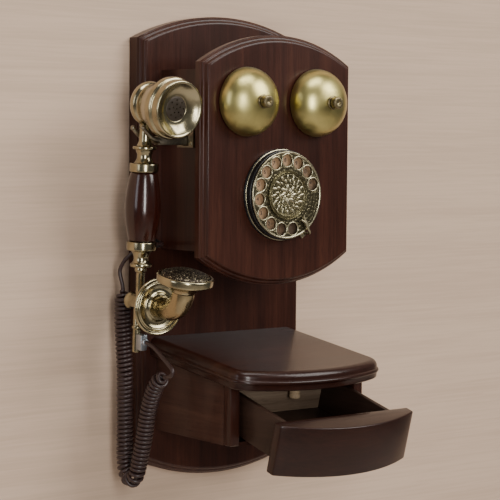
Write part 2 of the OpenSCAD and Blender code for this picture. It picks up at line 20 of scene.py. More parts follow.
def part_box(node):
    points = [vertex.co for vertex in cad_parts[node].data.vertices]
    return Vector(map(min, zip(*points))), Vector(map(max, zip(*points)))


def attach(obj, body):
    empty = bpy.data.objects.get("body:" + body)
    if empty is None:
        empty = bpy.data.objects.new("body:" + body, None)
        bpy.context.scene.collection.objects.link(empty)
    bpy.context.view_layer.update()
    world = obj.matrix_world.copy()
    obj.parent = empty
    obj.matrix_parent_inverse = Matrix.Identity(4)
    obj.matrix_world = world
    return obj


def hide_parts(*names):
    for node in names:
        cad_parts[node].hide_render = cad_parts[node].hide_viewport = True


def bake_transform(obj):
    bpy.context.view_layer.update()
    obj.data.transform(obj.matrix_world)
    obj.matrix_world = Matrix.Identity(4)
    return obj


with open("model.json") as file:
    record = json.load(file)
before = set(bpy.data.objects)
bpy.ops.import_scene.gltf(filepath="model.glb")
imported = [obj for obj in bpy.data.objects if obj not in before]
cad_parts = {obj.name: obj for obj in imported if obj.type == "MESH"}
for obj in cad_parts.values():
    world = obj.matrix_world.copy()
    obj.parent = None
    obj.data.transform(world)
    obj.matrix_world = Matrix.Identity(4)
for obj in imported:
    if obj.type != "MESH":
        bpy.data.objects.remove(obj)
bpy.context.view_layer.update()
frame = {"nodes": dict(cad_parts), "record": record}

LOG = logging.getLogger("wall_telephone")
MM = 0.001
FACE_FRONT = Matrix.Rotation(math.radians(90), 4, "X")

Point = tuple[float, float]
Colour = tuple[float, float, float]


# ---- outlines and routes ----


def arc_points(centre: Point, radius: float, start: float, stop: float, count: int) -> list[Point]:
    """Points along a circular arc.

    Args:
        centre: Middle of the circle.
        radius: Radius of the circle.
        start: First angle, in degrees.
        stop: Last angle, in degrees.
        count: Number of steps along the arc.

    Returns:
        count + 1 points.
    """
    angles = [math.radians(start + (stop - start) * i / count) for i in range(count + 1)]
    return [(centre[0] + radius * math.cos(a), centre[1] + radius * math.sin(a)) for a in angles]


def arch(width: float, corner: float, apex: float, count: int = 24) -> list[Point]:
    """A shallow arch from the right corner over the apex to the left corner.

    Args:
        width: Distance between the corners.
        corner: Height of the corners.
        apex: Height of the middle.
        count: Number of steps along the arch.

    Returns:
        Points from right to left.
    """
    rise = apex - corner
    radius = (width * width / 4 + rise * rise) / (2 * rise)
    half = math.degrees(math.asin(width / 2 / radius))
    return arc_points((0, apex - radius), radius, 90 - half, 90 + half, count)


def corner_curve(start: Vector, corner: Vector, stop: Vector, shares: Iterable[float]) -> list[Point]:
    """Points of the short curve that takes a corner's place.

    Args:
        start: Where the curve leaves one side.
        corner: The corner itself.
        stop: Where the curve meets the other side.
        shares: How far along the curve each point lies, from 0 to 1.

    Returns:
        One point for each share.
    """
    return [tuple(start * (1 - t) ** 2 + corner * 2 * t * (1 - t) + stop * t * t) for t in shares]


def softened(outline: Sequence[Point], radius: float, steps: int = 3) -> list[Point]:
    """An open outline with a short curve in place of each inner corner.

    Args:
        outline: Points of the outline.
        radius: How far the curve reaches along each side of a corner.
        steps: Number of steps along each curve.

    Returns:
        Points of the softened outline.
    """
    soft = [tuple(outline[0])]
    for before, corner, after in zip(outline, outline[1:], outline[2:]):
        a, b, c = Vector(before), Vector(corner), Vector(after)
        reach_in = min(radius, (a - b).length * 0.45)
        reach_out = min(radius, (c - b).length * 0.45)
        p, q = b + (a - b).normalized() * reach_in, b + (c - b).normalized() * reach_out
        soft += corner_curve(p, b, q, [i / steps for i in range(steps + 1)])
    soft.append(tuple(outline[-1]))
    return soft


def smooth_route(points: Sequence[Sequence[float]], spacing: float, passes: int) -> list[Vector]:
    """One smooth, evenly spaced line through a given route.

    Args:
        points: The route.
        spacing: Distance between the points of the line.
        passes: How often the line is relaxed, with its ends kept.

    Returns:
        Points of the smooth line.
    """
    line = even_spacing([Vector(p) for p in points], spacing)
    for _ in range(passes):
        inner = [b * 0.5 + (a + c) * 0.25 for a, b, c in zip(line, line[1:], line[2:])]
        line = [line[0], *inner, line[-1]]
    return even_spacing(line, spacing)


def even_spacing(line: Sequence[Vector], spacing: float) -> list[Vector]:
    """The same line with points a fixed distance apart.

    Args:
        line: Points of a line.
        spacing: Wanted distance between points.

    Returns:
        Evenly spaced points, ends included.
    """
    steps = [(b - a).length for a, b in zip(line, line[1:])]
    total = sum(steps)
    count = max(2, round(total / spacing))
    found, walked, i = [line[0].copy()], 0.0, 0
    for k in range(1, count):
        want = total * k / count
        while walked + steps[i] < want:
            walked += steps[i]
            i += 1
        found.append(line[i].lerp(line[i + 1], (want - walked) / steps[i]))
    return [*found, line[-1].copy()]


# ---- shapes ----


@dataclass(frozen=True)
class Span:
    """A CAD node's box at rest, in millimetres."""

    low: Vector
    high: Vector

    @classmethod
    def of(cls, node: str) -> "Span":
        """The box of the node with that name."""
        low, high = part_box(node)
        return cls(low / MM, high / MM)

    @property
    def centre(self) -> Vector:
        """The middle of the box."""
        return (self.low + self.high) / 2

    @property
    def size(self) -> Vector:
        """The box's extent along each axis."""
        return self.high - self.low


class Shape:
    """A mesh in the making, in millimetres, shaped by bmesh operators."""

    def __init__(self) -> None:
        """Starts with nothing."""
        self.bm = bmesh.new()

    @classmethod
    def turned(cls, profile: Sequence[Point], sides: int = 64, closed: bool = False) -> "Shape":
        """A profile turned about the upright axis.

        Args:
            profile: Points of (radius, height).
            sides: Number of steps round the axis.
            closed: Whether the profile's ends meet, as on a ring.

        Returns:
            The turned shape.
        """
        shape = cls()
        verts = [shape.bm.verts.new((r, 0, z)) for r, z in profile]
        pairs = [*zip(verts, verts[1:]), *([(verts[-1], verts[0])] if closed else [])]
        edges = [shape.bm.edges.new(pair) for pair in pairs]
        bmesh.ops.spin(shape.bm, geom=[*verts, *edges], cent=(0, 0, 0), axis=(0, 0, 1),
                       dvec=(0, 0, 0), angle=math.tau, steps=sides, use_merge=True,
                       use_normal_flip=False, use_duplicate=False)
        return shape.tidied()

    @classmethod
    def board(cls, low: Sequence[float], high: Sequence[float], ease: float = 0.6) -> "Shape":
        """A rectangular board with eased edges.

        Args:
            low: Lowest corner.
            high: Highest corner.
            ease: Width of the eased edges.

        Returns:
            The board.
        """
        shape = cls()
        a, b = Vector(low), Vector(high)
        fit = Matrix.Translation((a + b) / 2) @ Matrix.Diagonal((*(b - a), 1))
        bmesh.ops.create_cube(shape.bm, size=1, matrix=fit)
        return shape.eased(ease) if ease else shape

    @classmethod
    def plate(cls, outline: Sequence[Point], height: float, ease: float = 0.0) -> "Shape":
        """A flat outline raised to a plate.

        Args:
            outline: Points of the outline, anticlockwise.
            height: Thickness of the plate.
            ease: Width of the eased edges.

        Returns:
            The plate, from z = 0 up.
        """
        shape = cls()
        face = shape.bm.faces.new([shape.bm.verts.new((x, y, 0)) for x, y in outline])
        raised = bmesh.ops.extrude_face_region(shape.bm, geom=[face], use_keep_orig=True)
        top = [v for v in raised["geom"] if isinstance(v, bmesh.types.BMVert)]
        bmesh.ops.translate(shape.bm, verts=top, vec=(0, 0, height))
        shape.tidied()
        return shape.eased(ease) if ease else shape

    @classmethod
    def moulded(cls, outline: Sequence[Point], level: float, above: Sequence[Point],
                below: Sequence[Point]) -> "Shape":
        """A slab whose edge follows a moulding, built out from its widest line.

        Args:
            outline: Points of the widest outline, anticlockwise.
            level: Height of the widest outline.
            above: Points of (inset, rise) from the widest outline to the top face.
            below: Points of (inset, drop) from the widest outline to the bottom face.

        Returns:
            The slab.
        """
        shape = cls()
        for steps, order in ((above, 1), (below, -1)):
            ring = [shape.bm.verts.new((x, y, level)) for x, y in outline]
            cap = shape.bm.faces.new(ring[::order])
            cap.normal_update()
            inset, rise = 0.0, 0.0
            for next_inset, next_rise in [*steps, (steps[-1][0] + 0.5, steps[-1][1])]:
                bmesh.ops.inset_region(shape.bm, faces=[cap], thickness=next_inset - inset,
                                       depth=next_rise - rise, use_even_offset=True,
                                       use_boundary=True)
                inset, rise = next_inset, next_rise
        return shape.tidied()

    @classmethod
    def rod(cls, line: Sequence[Sequence[float]], radius: float, sides: int = 12,
            widths: Sequence[float] | None = None) -> "Shape":
        """A round rod along a line.

        Args:
            line: Points of the rod's centre.
            radius: Radius of the rod.
            sides: Number of sides, even.
            widths: Share of the radius at each point, or None for all the same.

        Returns:
            The rod, with closed ends.
        """
        curve = bpy.data.curves.new("rod", "CURVE")
        curve.dimensions = "3D"
        curve.bevel_depth = radius
        curve.bevel_resolution = sides // 2 - 2
        curve.use_fill_caps = True
        spline = curve.splines.new("POLY")
        spline.points.add(len(line) - 1)
        for i, (point, co) in enumerate(zip(spline.points, line)):
            point.co = (*co, 1)
            point.radius = widths[i] if widths else 1
        return cls.from_data(curve)

    @classmethod
    def digit(cls, text: str, height: float, thickness: float) -> "Shape":
        """A raised numeral or sign of a plain typeface.

        Args:
            text: One numeral or sign.
            height: Size of the numeral.
            thickness: Thickness of the numeral.

        Returns:
            The numeral, centred on the origin.
        """
        curve = bpy.data.curves.new("digit", "FONT")
        curve.body = text
        curve.size = height
        curve.extrude = thickness / 2
        curve.resolution_u = 3
        curve.align_x, curve.align_y = "CENTER", "CENTER"
        return cls.from_data(curve)

    @classmethod
    def from_data(cls, data: bpy.types.Curve) -> "Shape":
        """The mesh of a curve or text, which is used up."""
        holder = bpy.data.objects.new("holder", data)
        bpy.context.scene.collection.objects.link(holder)
        shape = cls().taken_from(holder)
        bpy.data.curves.remove(data)
        return shape.tidied()

    def taken_from(self, holder: bpy.types.Object) -> "Shape":
        """This shape's mesh becomes that of an object with its modifiers, which is removed.

        Args:
            holder: A linked object.

        Returns:
            This shape.
        """
        graph = bpy.context.evaluated_depsgraph_get()
        mesh = bpy.data.meshes.new_from_object(holder.evaluated_get(graph))
        self.bm.clear()
        self.bm.from_mesh(mesh)
        bpy.data.meshes.remove(mesh)
        bpy.data.objects.remove(holder)
        return self

    def held(self, name: str) -> bpy.types.Object:
        """A linked object with this shape's mesh as it is, in millimetres."""
        mesh = bpy.data.meshes.new(name)
        self.bm.to_mesh(mesh)
        holder = bpy.data.objects.new(name, mesh)
        bpy.context.scene.collection.objects.link(holder)
        return holder

    def tidied(self) -> "Shape":
        """Merges doubled points and turns the faces outwards."""
        bmesh.ops.remove_doubles(self.bm, verts=self.bm.verts[:], dist=1e-4)
        bmesh.ops.recalc_face_normals(self.bm, faces=self.bm.faces[:])
        return self

    def eased(self, width: float, segments: int = 2, angle: float = 35) -> "Shape":
        """Rounds the edges that turn by more than an angle.

        Args:
            width: Width of the rounding.
            segments: Number of steps across it.
            angle: Smallest turn of an edge to round, in degrees.

        Returns:
            This shape.
        """
        sharp = [e for e in self.bm.edges
                 if len(e.link_faces) == 2 and e.calc_face_angle() > math.radians(angle)]
        bmesh.ops.bevel(self.bm, geom=sharp, offset=width, offset_type="OFFSET", affect="EDGES",
                        segments=segments, profile=0.5, material=-1, clamp_overlap=True)
        return self

    def placed(self, matrix: Matrix) -> "Shape":
        """Moves the shape by a matrix."""
        bmesh.ops.transform(self.bm, matrix=matrix, verts=self.bm.verts[:])
        return self

    def moved(self, x: float, y: float, z: float) -> "Shape":
        """Moves the shape by a distance."""
        return self.placed(Matrix.Translation((x, y, z)))

    def scaled(self, x: float, y: float, z: float) -> "Shape":
        """Scales the shape about the origin."""
        return self.placed(Matrix.Diagonal((x, y, z, 1)))

    def trimmed(self, point: Sequence[float], outwards: Sequence[float]) -> "Shape":
        """Cuts the shape off at a plane and closes the cut.

        Args:
            point: A point of the plane.
            outwards: The side that is cut away.

        Returns:
            This shape.
        """
        geom = [*self.bm.verts, *self.bm.edges, *self.bm.faces]
        cut = bmesh.ops.bisect_plane(self.bm, geom=geom, dist=1e-4, plane_co=point,
                                     plane_no=outwards, clear_outer=True)
        edges = [e for e in cut["geom_cut"] if isinstance(e, bmesh.types.BMEdge)]
        bmesh.ops.contextual_create(self.bm, geom=edges)
        return self.tidied()

    def less(self, cutter: "Shape") -> "Shape":
        """Cuts another shape out of this one, and uses it up."""
        holder, tool = self.held("holder"), cutter.held("tool")
        change = holder.modifiers.new("cut", "BOOLEAN")
        change.operation, change.solver, change.object = "DIFFERENCE", "EXACT", tool
        self.taken_from(holder)
        bpy.data.objects.remove(tool)
        return self

    def plus(self, *others: "Shape") -> "Shape":
        """Adds other shapes to this one, and uses them up."""
        for other in others:
            mesh = bpy.data.meshes.new("part")
            other.bm.to_mesh(mesh)
            self.bm.from_mesh(mesh)
            bpy.data.meshes.remove(mesh)
            other.bm.free()
        return self

    def copied(self) -> "Shape":
        """A second shape like this one."""
        twin = Shape()
        twin.bm = self.bm.copy()
        return twin

    def round_axis(self, count: int, start: float = 0.0, step: float | None = None) -> "Shape":
        """This shape repeated round the upright axis.

        Args:
            count: Number of copies.
            start: Angle of the first one, in degrees.
            step: Angle from one to the next, or None to fill the circle.

        Returns:
            All the copies as one shape.
        """
        ring, step = Shape(), step or 360 / count
        for i in range(count):
            turn = Matrix.Rotation(math.radians(start + i * step), 4, "Z")
            ring.plus(self.copied().placed(turn))
        return ring


def make_piece(name: str, shape: Shape, finish: "Finish", body: str, stands_for: Iterable[str] = (),
               crease: float = 34) -> bpy.types.Object:
    """Turns a shape into a finished piece that rides on a body.

    Args:
        name: The piece's name.
        shape: Its shape in millimetres, which is used up.
        finish: Its finish.
        body: The CAD body that it rides on.
        stands_for: The CAD nodes that it replaces.
        crease: Turn of an edge above which it shades as sharp, in degrees.

    Returns:
        The piece.
    """
    shape.scaled(MM, MM, MM)
    mesh = bpy.data.meshes.new(name)
    shape.bm.to_mesh(mesh)
    shape.bm.free()
    mesh.shade_smooth()
    mesh.set_sharp_from_angle(angle=math.radians(crease))
    mesh.materials.append(finish.material())
    piece = bpy.data.objects.new(name, mesh)
    bpy.context.scene.collection.objects.link(piece)
    if body:
        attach(piece, body)
    if stands_for:
        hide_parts(*stands_for)
    return piece


DRESSED: set[str] = set()


def dress(node: str, finish: "Finish") -> None:
    """Gives a CAD node that stays its finish.

    Args:
        node: The node's name.
        finish: Its finish.
    """
    obj = frame["nodes"][node]
    obj.data.materials.clear()
    obj.data.materials.append(finish.material())
    DRESSED.add(node)


# ---- finishes ----


class Sock:
    """A node's output, with arithmetic that adds Math nodes."""

    def __init__(self, recipe: "Recipe", out: bpy.types.NodeSocket) -> None:
        """Wraps one output of a recipe's node."""
        self.recipe = recipe
        self.out = out

    def math(self, operation: str, *values: "Sock | float") -> "Sock":
        """A Math node on the given values.

        Args:
            operation: The Math node's operation.
            values: Its inputs in order.

        Returns:
            The node's output.
        """
        return self.recipe.node("ShaderNodeMath", {"operation": operation}, dict(enumerate(values)))

    def __add__(self, other: "Sock | float") -> "Sock":
        """self + other."""
        return self.math("ADD", self, other)

    def __radd__(self, other: float) -> "Sock":
        """other + self."""
        return self.math("ADD", other, self)

    def __sub__(self, other: "Sock | float") -> "Sock":
        """self - other."""
        return self.math("SUBTRACT", self, other)

    def __rsub__(self, other: float) -> "Sock":
        """other - self."""
        return self.math("SUBTRACT", other, self)

    def __mul__(self, other: "Sock | float") -> "Sock":
        """self * other."""
        return self.math("MULTIPLY", self, other)

    def __rmul__(self, other: float) -> "Sock":
        """other * self."""
        return self.math("MULTIPLY", other, self)

    def __truediv__(self, other: "Sock | float") -> "Sock":
        """self / other."""
        return self.math("DIVIDE", self, other)

    def band(self, low: float, high: float) -> "Sock":
        """0 below low, 1 above high, and a smooth rise between."""
        return self.recipe.node("ShaderNodeMapRange", {"interpolation_type": "SMOOTHSTEP"},
                                {"Value": self, "From Min": low, "From Max": high})


class Recipe:
    """The nodes of one material."""

    def __init__(self, name: str) -> None:
        """Starts an empty material with that name."""
        self.made = bpy.data.materials.new(name)
        self.made.use_nodes = True
        self.tree = self.made.node_tree
        self.tree.nodes.clear()

    def node(self, kind: str, settings: dict[str, Any] | None = None,
             inputs: dict[str | int, Any] | None = None, out: str | int = 0) -> Sock:
        """Adds a node.

        Args:
            kind: The node's type.
            settings: Its settings, set first; "stops" are a ramp's (place, colour) pairs.
            inputs: Values or links of its sockets, by name or number.
            out: The output to return, by name or number.

        Returns:
            One output of the node.
        """
        made = self.tree.nodes.new(kind)
        for key, value in (settings or {}).items():
            if key == "stops":
                self._set_stops(made.color_ramp, value)
            else:
                setattr(made, key, value)
        for key, value in (inputs or {}).items():
            if isinstance(value, Sock):
                self.tree.links.new(value.out, made.inputs[key])
            else:
                made.inputs[key].default_value = value
        return Sock(self, made.outputs[out])

    @staticmethod
    def _set_stops(ramp: bpy.types.ColorRamp, stops: Sequence[tuple[float, Colour]]) -> None:
        """Gives a colour ramp its stops."""
        while len(ramp.elements) < len(stops):
            ramp.elements.new(1)
        for element, (place, colour) in zip(ramp.elements, stops):
            element.position = place
            element.color = (*colour, 1)

    def coords(self, scale: Colour = (1, 1, 1), centre: Colour = (0, 0, 0)) -> Sock:
        """Object coordinates, scaled about a centre.

        Args:
            scale: Scale along each axis.
            centre: The point that stays at zero, in metres.

        Returns:
            The scaled coordinates.
        """
        place = self.node("ShaderNodeTexCoord", out="Object")
        shift = tuple(-c * s for c, s in zip(centre, scale))
        return self.node("ShaderNodeMapping", None,
                         {"Vector": place, "Location": shift, "Scale": scale})

    def noise(self, where: Sock, scale: float, detail: float = 3, roughness: float = 0.5,
              distortion: float = 0) -> Sock:
        """A noise texture's value."""
        return self.node("ShaderNodeTexNoise", None,
                         {"Vector": where, "Scale": scale, "Detail": detail,
                          "Roughness": roughness, "Distortion": distortion})

    def mix(self, share: Sock | float, a: Sock | Colour, b: Sock | Colour) -> Sock:
        """A colour between two colours."""
        both = {6: a if isinstance(a, Sock) else (*a, 1), 7: b if isinstance(b, Sock) else (*b, 1)}
        return self.node("ShaderNodeMix", {"data_type": "RGBA"}, {0: share, **both}, out=2)

    def ramp(self, value: Sock, stops: Sequence[tuple[float, Colour]]) -> Sock:
        """The colour that a value has on a ramp."""
        return self.node("ShaderNodeValToRGB", {"stops": stops}, {"Fac": value})

    def bump(self, height: Sock, strength: float, distance: float) -> Sock:
        """A bumped normal; distance is in metres."""
        return self.node("ShaderNodeBump", None,
                         {"Height": height, "Strength": strength, "Distance": distance})

    def polar(self, centre: Colour) -> tuple[Sock, Sock]:
        """Distance and angle round an axis through a point, towards the front.

        Args:
            centre: A point on the axis, in metres.

        Returns:
            The distance in metres and the angle in radians.
        """
        parts = self.node("ShaderNodeSeparateXYZ", None, {0: self.coords(centre=centre)})
        x, z = Sock(self, parts.out.node.outputs[0]), Sock(self, parts.out.node.outputs[2])
        return (x * x + z * z).math("SQRT", x * x + z * z), x.math("ARCTAN2", z, x)

    def finish(self, inputs: dict[str, Any]) -> bpy.types.Material:
        """Ends the material with a Principled shader that has these inputs."""
        ready = {key: (*value, 1) if key == "Base Color" and isinstance(value, tuple) else value
                 for key, value in inputs.items()}
        shader = self.node("ShaderNodeBsdfPrincipled", None, ready)
        self.node_output(shader)
        return self.made

    def node_output(self, shader: Sock) -> None:
        """Links a shader to the material's surface."""
        end = self.tree.nodes.new("ShaderNodeOutputMaterial")
        self.tree.links.new(shader.out, end.inputs["Surface"])


class Finish:
    """What every finish has: a name, and a material that is made once."""

    name: str
    made: ClassVar[dict[str, bpy.types.Material]] = {}

    def material(self) -> bpy.types.Material:
        """The finish's material."""
        if self.name not in self.made:
            self.made[self.name] = self.brew(Recipe(f"finish_{self.name}"))
        return self.made[self.name]

    def brew(self, recipe: Recipe) -> bpy.types.Material:
        """Builds the nodes in an empty recipe."""
        raise NotImplementedError


class Grain(Enum):
    """The way that a board's grain runs: how far the figure is drawn out along each axis."""

    UPRIGHT = (1.0, 1.0, 0.035)
    ACROSS = (0.035, 1.0, 1.0)
    OUTWARD = (1.0, 0.035, 1.0)


@dataclass(frozen=True)
class Wood(Finish):
    """Lacquered wood with straight grain, streaks and fine pores."""

    name: str
    dark: Colour
    middle: Colour
    light: Colour
    grain: Grain
    roughness: float = 0.3
    coat: float = 0.14
    coat_roughness: float = 0.13
    figure: float = 0.7

    def brew(self, recipe: Recipe) -> bpy.types.Material:
        """Builds the nodes in an empty recipe."""
        along = recipe.coords(self.grain.value)
        cloud = recipe.noise(recipe.coords(), 9, 2)
        broad = recipe.noise(along, 70, 4, 0.55, 0.5)
        streak = recipe.noise(along, 420, 5, 0.65, 0.2)
        pores = recipe.noise(along, 1900, 2, 0.6).band(0.58, 0.7)
        tone = 0.5 + self.figure * ((broad - 0.5) * 1.1 + (streak - 0.5) * 0.9 + (cloud - 0.5) * 0.8)
        stained = recipe.ramp(tone, [(0.22, self.dark), (0.52, self.middle), (0.82, self.light)])
        shade = tuple(c * 0.45 for c in self.dark)
        return recipe.finish({
            "Base Color": recipe.mix(pores * 0.55, stained, shade),
            "Roughness": self.roughness + 0.16 * (cloud - 0.4) + 0.1 * (streak - 0.5),
            "Normal": recipe.bump(streak * 0.5 - pores * 0.7, 0.14, 0.00025),
            "Coat Weight": self.coat,
            "Coat Roughness": self.coat_roughness,
            "Specular IOR Level": 0.22,
        })


@dataclass(frozen=True)
class Metal(Finish):
    """Plated or bare metal with tarnished clouds and a fine satin surface; on the pierced dome's finish the
    second colour is bright brass, so its flecks are painted glints on a near-black base.
    """

    name: str
    bright: Colour
    tarnish_and_glint: Colour
    roughness: float
    cover: float = 0.5
    patch: float = 60
    satin: float = 0.05
    spot: float = 0.25
    spot_scale: float = 1400
    spot_from: float = 0.62

    def brew(self, recipe: Recipe) -> bpy.types.Material:
        """Builds the nodes in an empty recipe."""
        where = recipe.coords()
        cloud = recipe.noise(where, self.patch, 5, 0.6, 0.4)
        speck = recipe.noise(where, self.spot_scale, 3, 0.6)
        worn = cloud.band(0.42, 0.72)
        spots = speck.band(self.spot_from, self.spot_from + 0.16)
        return recipe.finish({
            "Base Color": recipe.mix(worn * self.cover + spots * self.spot, self.bright, self.tarnish_and_glint),
            "Metallic": 1.0,
            "Roughness": self.roughness + worn * 0.12 + speck * 0.08 - 0.04,
            "Normal": recipe.bump(speck, self.satin, 0.0002),
        })


@dataclass(frozen=True)
class ChasedMetal(Finish):
    """Antique metal chased with leafy scrolls, bright on top and dark in the hollows."""

    name: str
    bright: Colour
    hollow: Colour
    centre: Colour
    leaf: float = 300
    depth: float = 0.0006

    def brew(self, recipe: Recipe) -> bpy.types.Material:
        """Builds the nodes in an empty recipe."""
        where = recipe.coords(centre=self.centre)
        bend = recipe.noise(where, 160, 2, 0.5)
        radius, angle = recipe.polar(self.centre)
        lobes = (angle * 48 + bend * 14).math("SINE", angle * 48 + bend * 14)
        rings = (radius * 1900 + bend * 9).math("SINE", radius * 1900 + bend * 9)
        cells = recipe.node("ShaderNodeTexVoronoi", {"feature": "SMOOTH_F1"},
                            {"Vector": where, "Scale": self.leaf, "Smoothness": 0.4})
        height = (lobes * 0.22 + rings * 0.3 + 0.8 - cells * 1.1).band(0.05, 0.75)
        grime = recipe.noise(where, 90, 4, 0.6)
        return recipe.finish({
            "Base Color": recipe.mix(height * 0.85 + (grime - 0.45) * 0.6, self.hollow, self.bright),
            "Metallic": 1.0,
            "Roughness": 0.42 - height * 0.14,
            "Normal": recipe.bump(height, 0.55, self.depth),
        })


@dataclass(frozen=True)
class Plastic(Finish):
    """Moulded plastic or rubber with a faint orange-peel surface."""

    name: str
    colour: Colour
    roughness: float
    mottle: float = 0.15
    peel: float = 0.06
    metallic: float = 0.0

    def brew(self, recipe: Recipe) -> bpy.types.Material:
        """Builds the nodes in an empty recipe."""
        where = recipe.coords()
        dust = recipe.noise(where, 140, 4, 0.6)
        peel = recipe.noise(where, 1100, 2, 0.5)
        worn = tuple(min(1, c * 1.6 + 0.01) for c in self.colour)
        return recipe.finish({
            "Base Color": recipe.mix(dust.band(0.45, 0.8) * self.mottle, self.colour, worn),
            "Metallic": self.metallic,
            "Roughness": self.roughness + (dust - 0.5) * 0.14,
            "Normal": recipe.bump(peel, self.peel, 0.0002),
        })


@dataclass(frozen=True)
class Enamel(Finish):
    """Painted metal, paler towards the upper left as painted light and darker elsewhere as painted shade.
    """

    name: str
    shaded: Colour
    painted_lit: Colour
    centre: Colour

    def brew(self, recipe: Recipe) -> bpy.types.Material:
        """Builds the nodes in an empty recipe."""
        where = recipe.coords(centre=self.centre)
        parts = recipe.node("ShaderNodeSeparateXYZ", None, {0: where})
        x, z = Sock(recipe, parts.out.node.outputs[0]), Sock(recipe, parts.out.node.outputs[2])
        stain = recipe.noise(where, 130, 5, 0.65)
        # painted light and shade: the share of the lit colour rises towards the upper left, with painted
        # shade below; the stain noise breaks up its edge
        painted_light_share = ((z - x) * 14 + (stain - 0.5) * 1.6 + 0.55).band(0, 1)
        return recipe.finish({
            "Base Color": recipe.mix(painted_light_share, self.shaded, self.painted_lit),
            "Roughness": 0.42 + stain * 0.2,
            "Normal": recipe.bump(stain, 0.1, 0.0003),
        })


@dataclass(frozen=True)
class Wallpaper(Finish):
    """Pale paper with faint level streaks, unseen from behind."""

    name: str
    colour: Colour
    streak: Colour

    def brew(self, recipe: Recipe) -> bpy.types.Material:
        """Builds the nodes in an empty recipe."""
        where = recipe.coords((0.03, 1, 1))
        fine = recipe.noise(where, 330, 4, 0.6, 0.6)
        broad = recipe.noise(where, 55, 3, 0.5)
        share = ((fine - 0.5) * 1.5 + (broad - 0.5) * 1.2 + 0.5).band(0.1, 0.9)
        paper = recipe.node("ShaderNodeBsdfPrincipled", None,
                            {"Base Color": recipe.mix(share, self.streak, self.colour),
                             "Roughness": 0.75, "Normal": recipe.bump(fine, 0.12, 0.0006)})
        clear = recipe.node("ShaderNodeBsdfTransparent")
        behind = recipe.node("ShaderNodeNewGeometry", out="Backfacing")
        shown = recipe.node("ShaderNodeMixShader", None, {0: behind, 1: paper, 2: clear})
        recipe.node_output(shown)
        return recipe.made


RED_DARK, RED_MIDDLE, RED_LIGHT = (0.020, 0.0064, 0.0042), (0.038, 0.0118, 0.0072), (0.066, 0.0215, 0.0122)
UPRIGHT_WOOD = Wood("upright_wood", RED_DARK, RED_MIDDLE, RED_LIGHT, Grain.UPRIGHT)
# The same red wood as the upright boards with the grain across, every colour darkened to 0.62 as painted
# shade for the level boards, the shelf and the drawer front.
SHADED_LEVEL_WOOD = Wood("shaded_level_wood", (0.0125, 0.004, 0.0026), (0.0235, 0.0073, 0.0045),
                  (0.041, 0.0133, 0.0076), Grain.ACROSS, 0.3, 0.24)
SIDE_WOOD = Wood("side_wood", (0.032, 0.0135, 0.0095), (0.058, 0.025, 0.017), (0.094, 0.044, 0.029),
                 Grain.OUTWARD)
HANDLE_WOOD = Wood("handle_wood", (0.010, 0.0022, 0.0013), (0.022, 0.0045, 0.0024),
                   (0.044, 0.0095, 0.0045), Grain.UPRIGHT, 0.2, 0.75, 0.12)
DRAWER_WOOD = Wood("drawer_wood", (0.018, 0.0085, 0.0055), (0.034, 0.017, 0.011),
                   (0.06, 0.032, 0.021), Grain.OUTWARD, 0.45, 0.1, 0.3)
DRAWER_BACK_WOOD = Wood("drawer_back_wood", (0.15, 0.1, 0.065), (0.27, 0.19, 0.13),
                        (0.4, 0.3, 0.21), Grain.ACROSS, 0.5, 0.1, 0.3)
PEG_WOOD = Wood("peg_wood", (0.4, 0.27, 0.15), (0.55, 0.4, 0.24), (0.68, 0.52, 0.34), Grain.UPRIGHT,
                0.5, 0.1, 0.3, 0.6)
BELL_BRASS = Metal("bell_brass", (0.52, 0.455, 0.18), (0.29, 0.25, 0.095), 0.31, 0.4, 42)
NUT_BRASS = Metal("nut_brass", (0.27, 0.225, 0.125), (0.05, 0.038, 0.024), 0.3, 0.75, 260)
PALE_BRASS = Metal("pale_brass", (0.40, 0.355, 0.225), (0.13, 0.108, 0.06), 0.17, 0.5, 70)
HORN_BRASS = Metal("horn_brass", (0.37, 0.30, 0.17), (0.17, 0.132, 0.07), 0.22, 0.4, 60)
RIM_BRASS = Metal("rim_brass", (0.50, 0.46, 0.31), (0.17, 0.15, 0.085), 0.26, 0.6, 220)
DARK_BRASS = Metal("dark_brass", (0.16, 0.135, 0.085), (0.045, 0.035, 0.024), 0.38, 0.6, 120)
# Bright brass flecks on a near-black base: the flecks are painted glints of the pierced dome's hole edges.
GLINT_FLECKED_BRASS = Metal("glint_flecked_brass", (0.035, 0.028, 0.022), (0.78, 0.68, 0.47), 0.42, 0.02, 120,
                       0.9, 1.0, 800, 0.55)
STEEL = Metal("steel", (0.5, 0.5, 0.48), (0.3, 0.29, 0.27), 0.32, 0.4, 90)
ZINC = Metal("zinc", (0.42, 0.46, 0.5), (0.22, 0.24, 0.27), 0.34, 0.5, 200)
HOOK_METAL = Metal("hook_metal", (0.26, 0.23, 0.17), (0.08, 0.065, 0.05), 0.36, 0.6, 120)
BLACK_PLASTIC = Plastic("black_plastic", (0.008, 0.008, 0.0085), 0.28)
IVORY_PLASTIC = Plastic("ivory_plastic", (0.62, 0.58, 0.47), 0.4)
BOARD_GREEN = Plastic("circuit_green", (0.015, 0.1, 0.045), 0.45)
COPPER = Plastic("winding_copper", (0.32, 0.12, 0.05), 0.4, 0.3, 0.3, 0.6)
CORD_SHEATH = Plastic("cord_sheath", (0.030, 0.014, 0.0125), 0.38, 0.25, 0.1)
MARK_PAINT = Plastic("mark_paint", (0.02, 0.012, 0.008), 0.5)
EAR_DISC = Plastic("ear_disc", (0.04, 0.03, 0.021), 0.42, 0.4, 0.25, 0.5)
WALLPAPER = Wallpaper("wallpaper", (0.585, 0.432, 0.318), (0.515, 0.376, 0.273))
FLOOR_PAINT = Plastic("floor_paint", (0.6, 0.56, 0.52), 0.7)

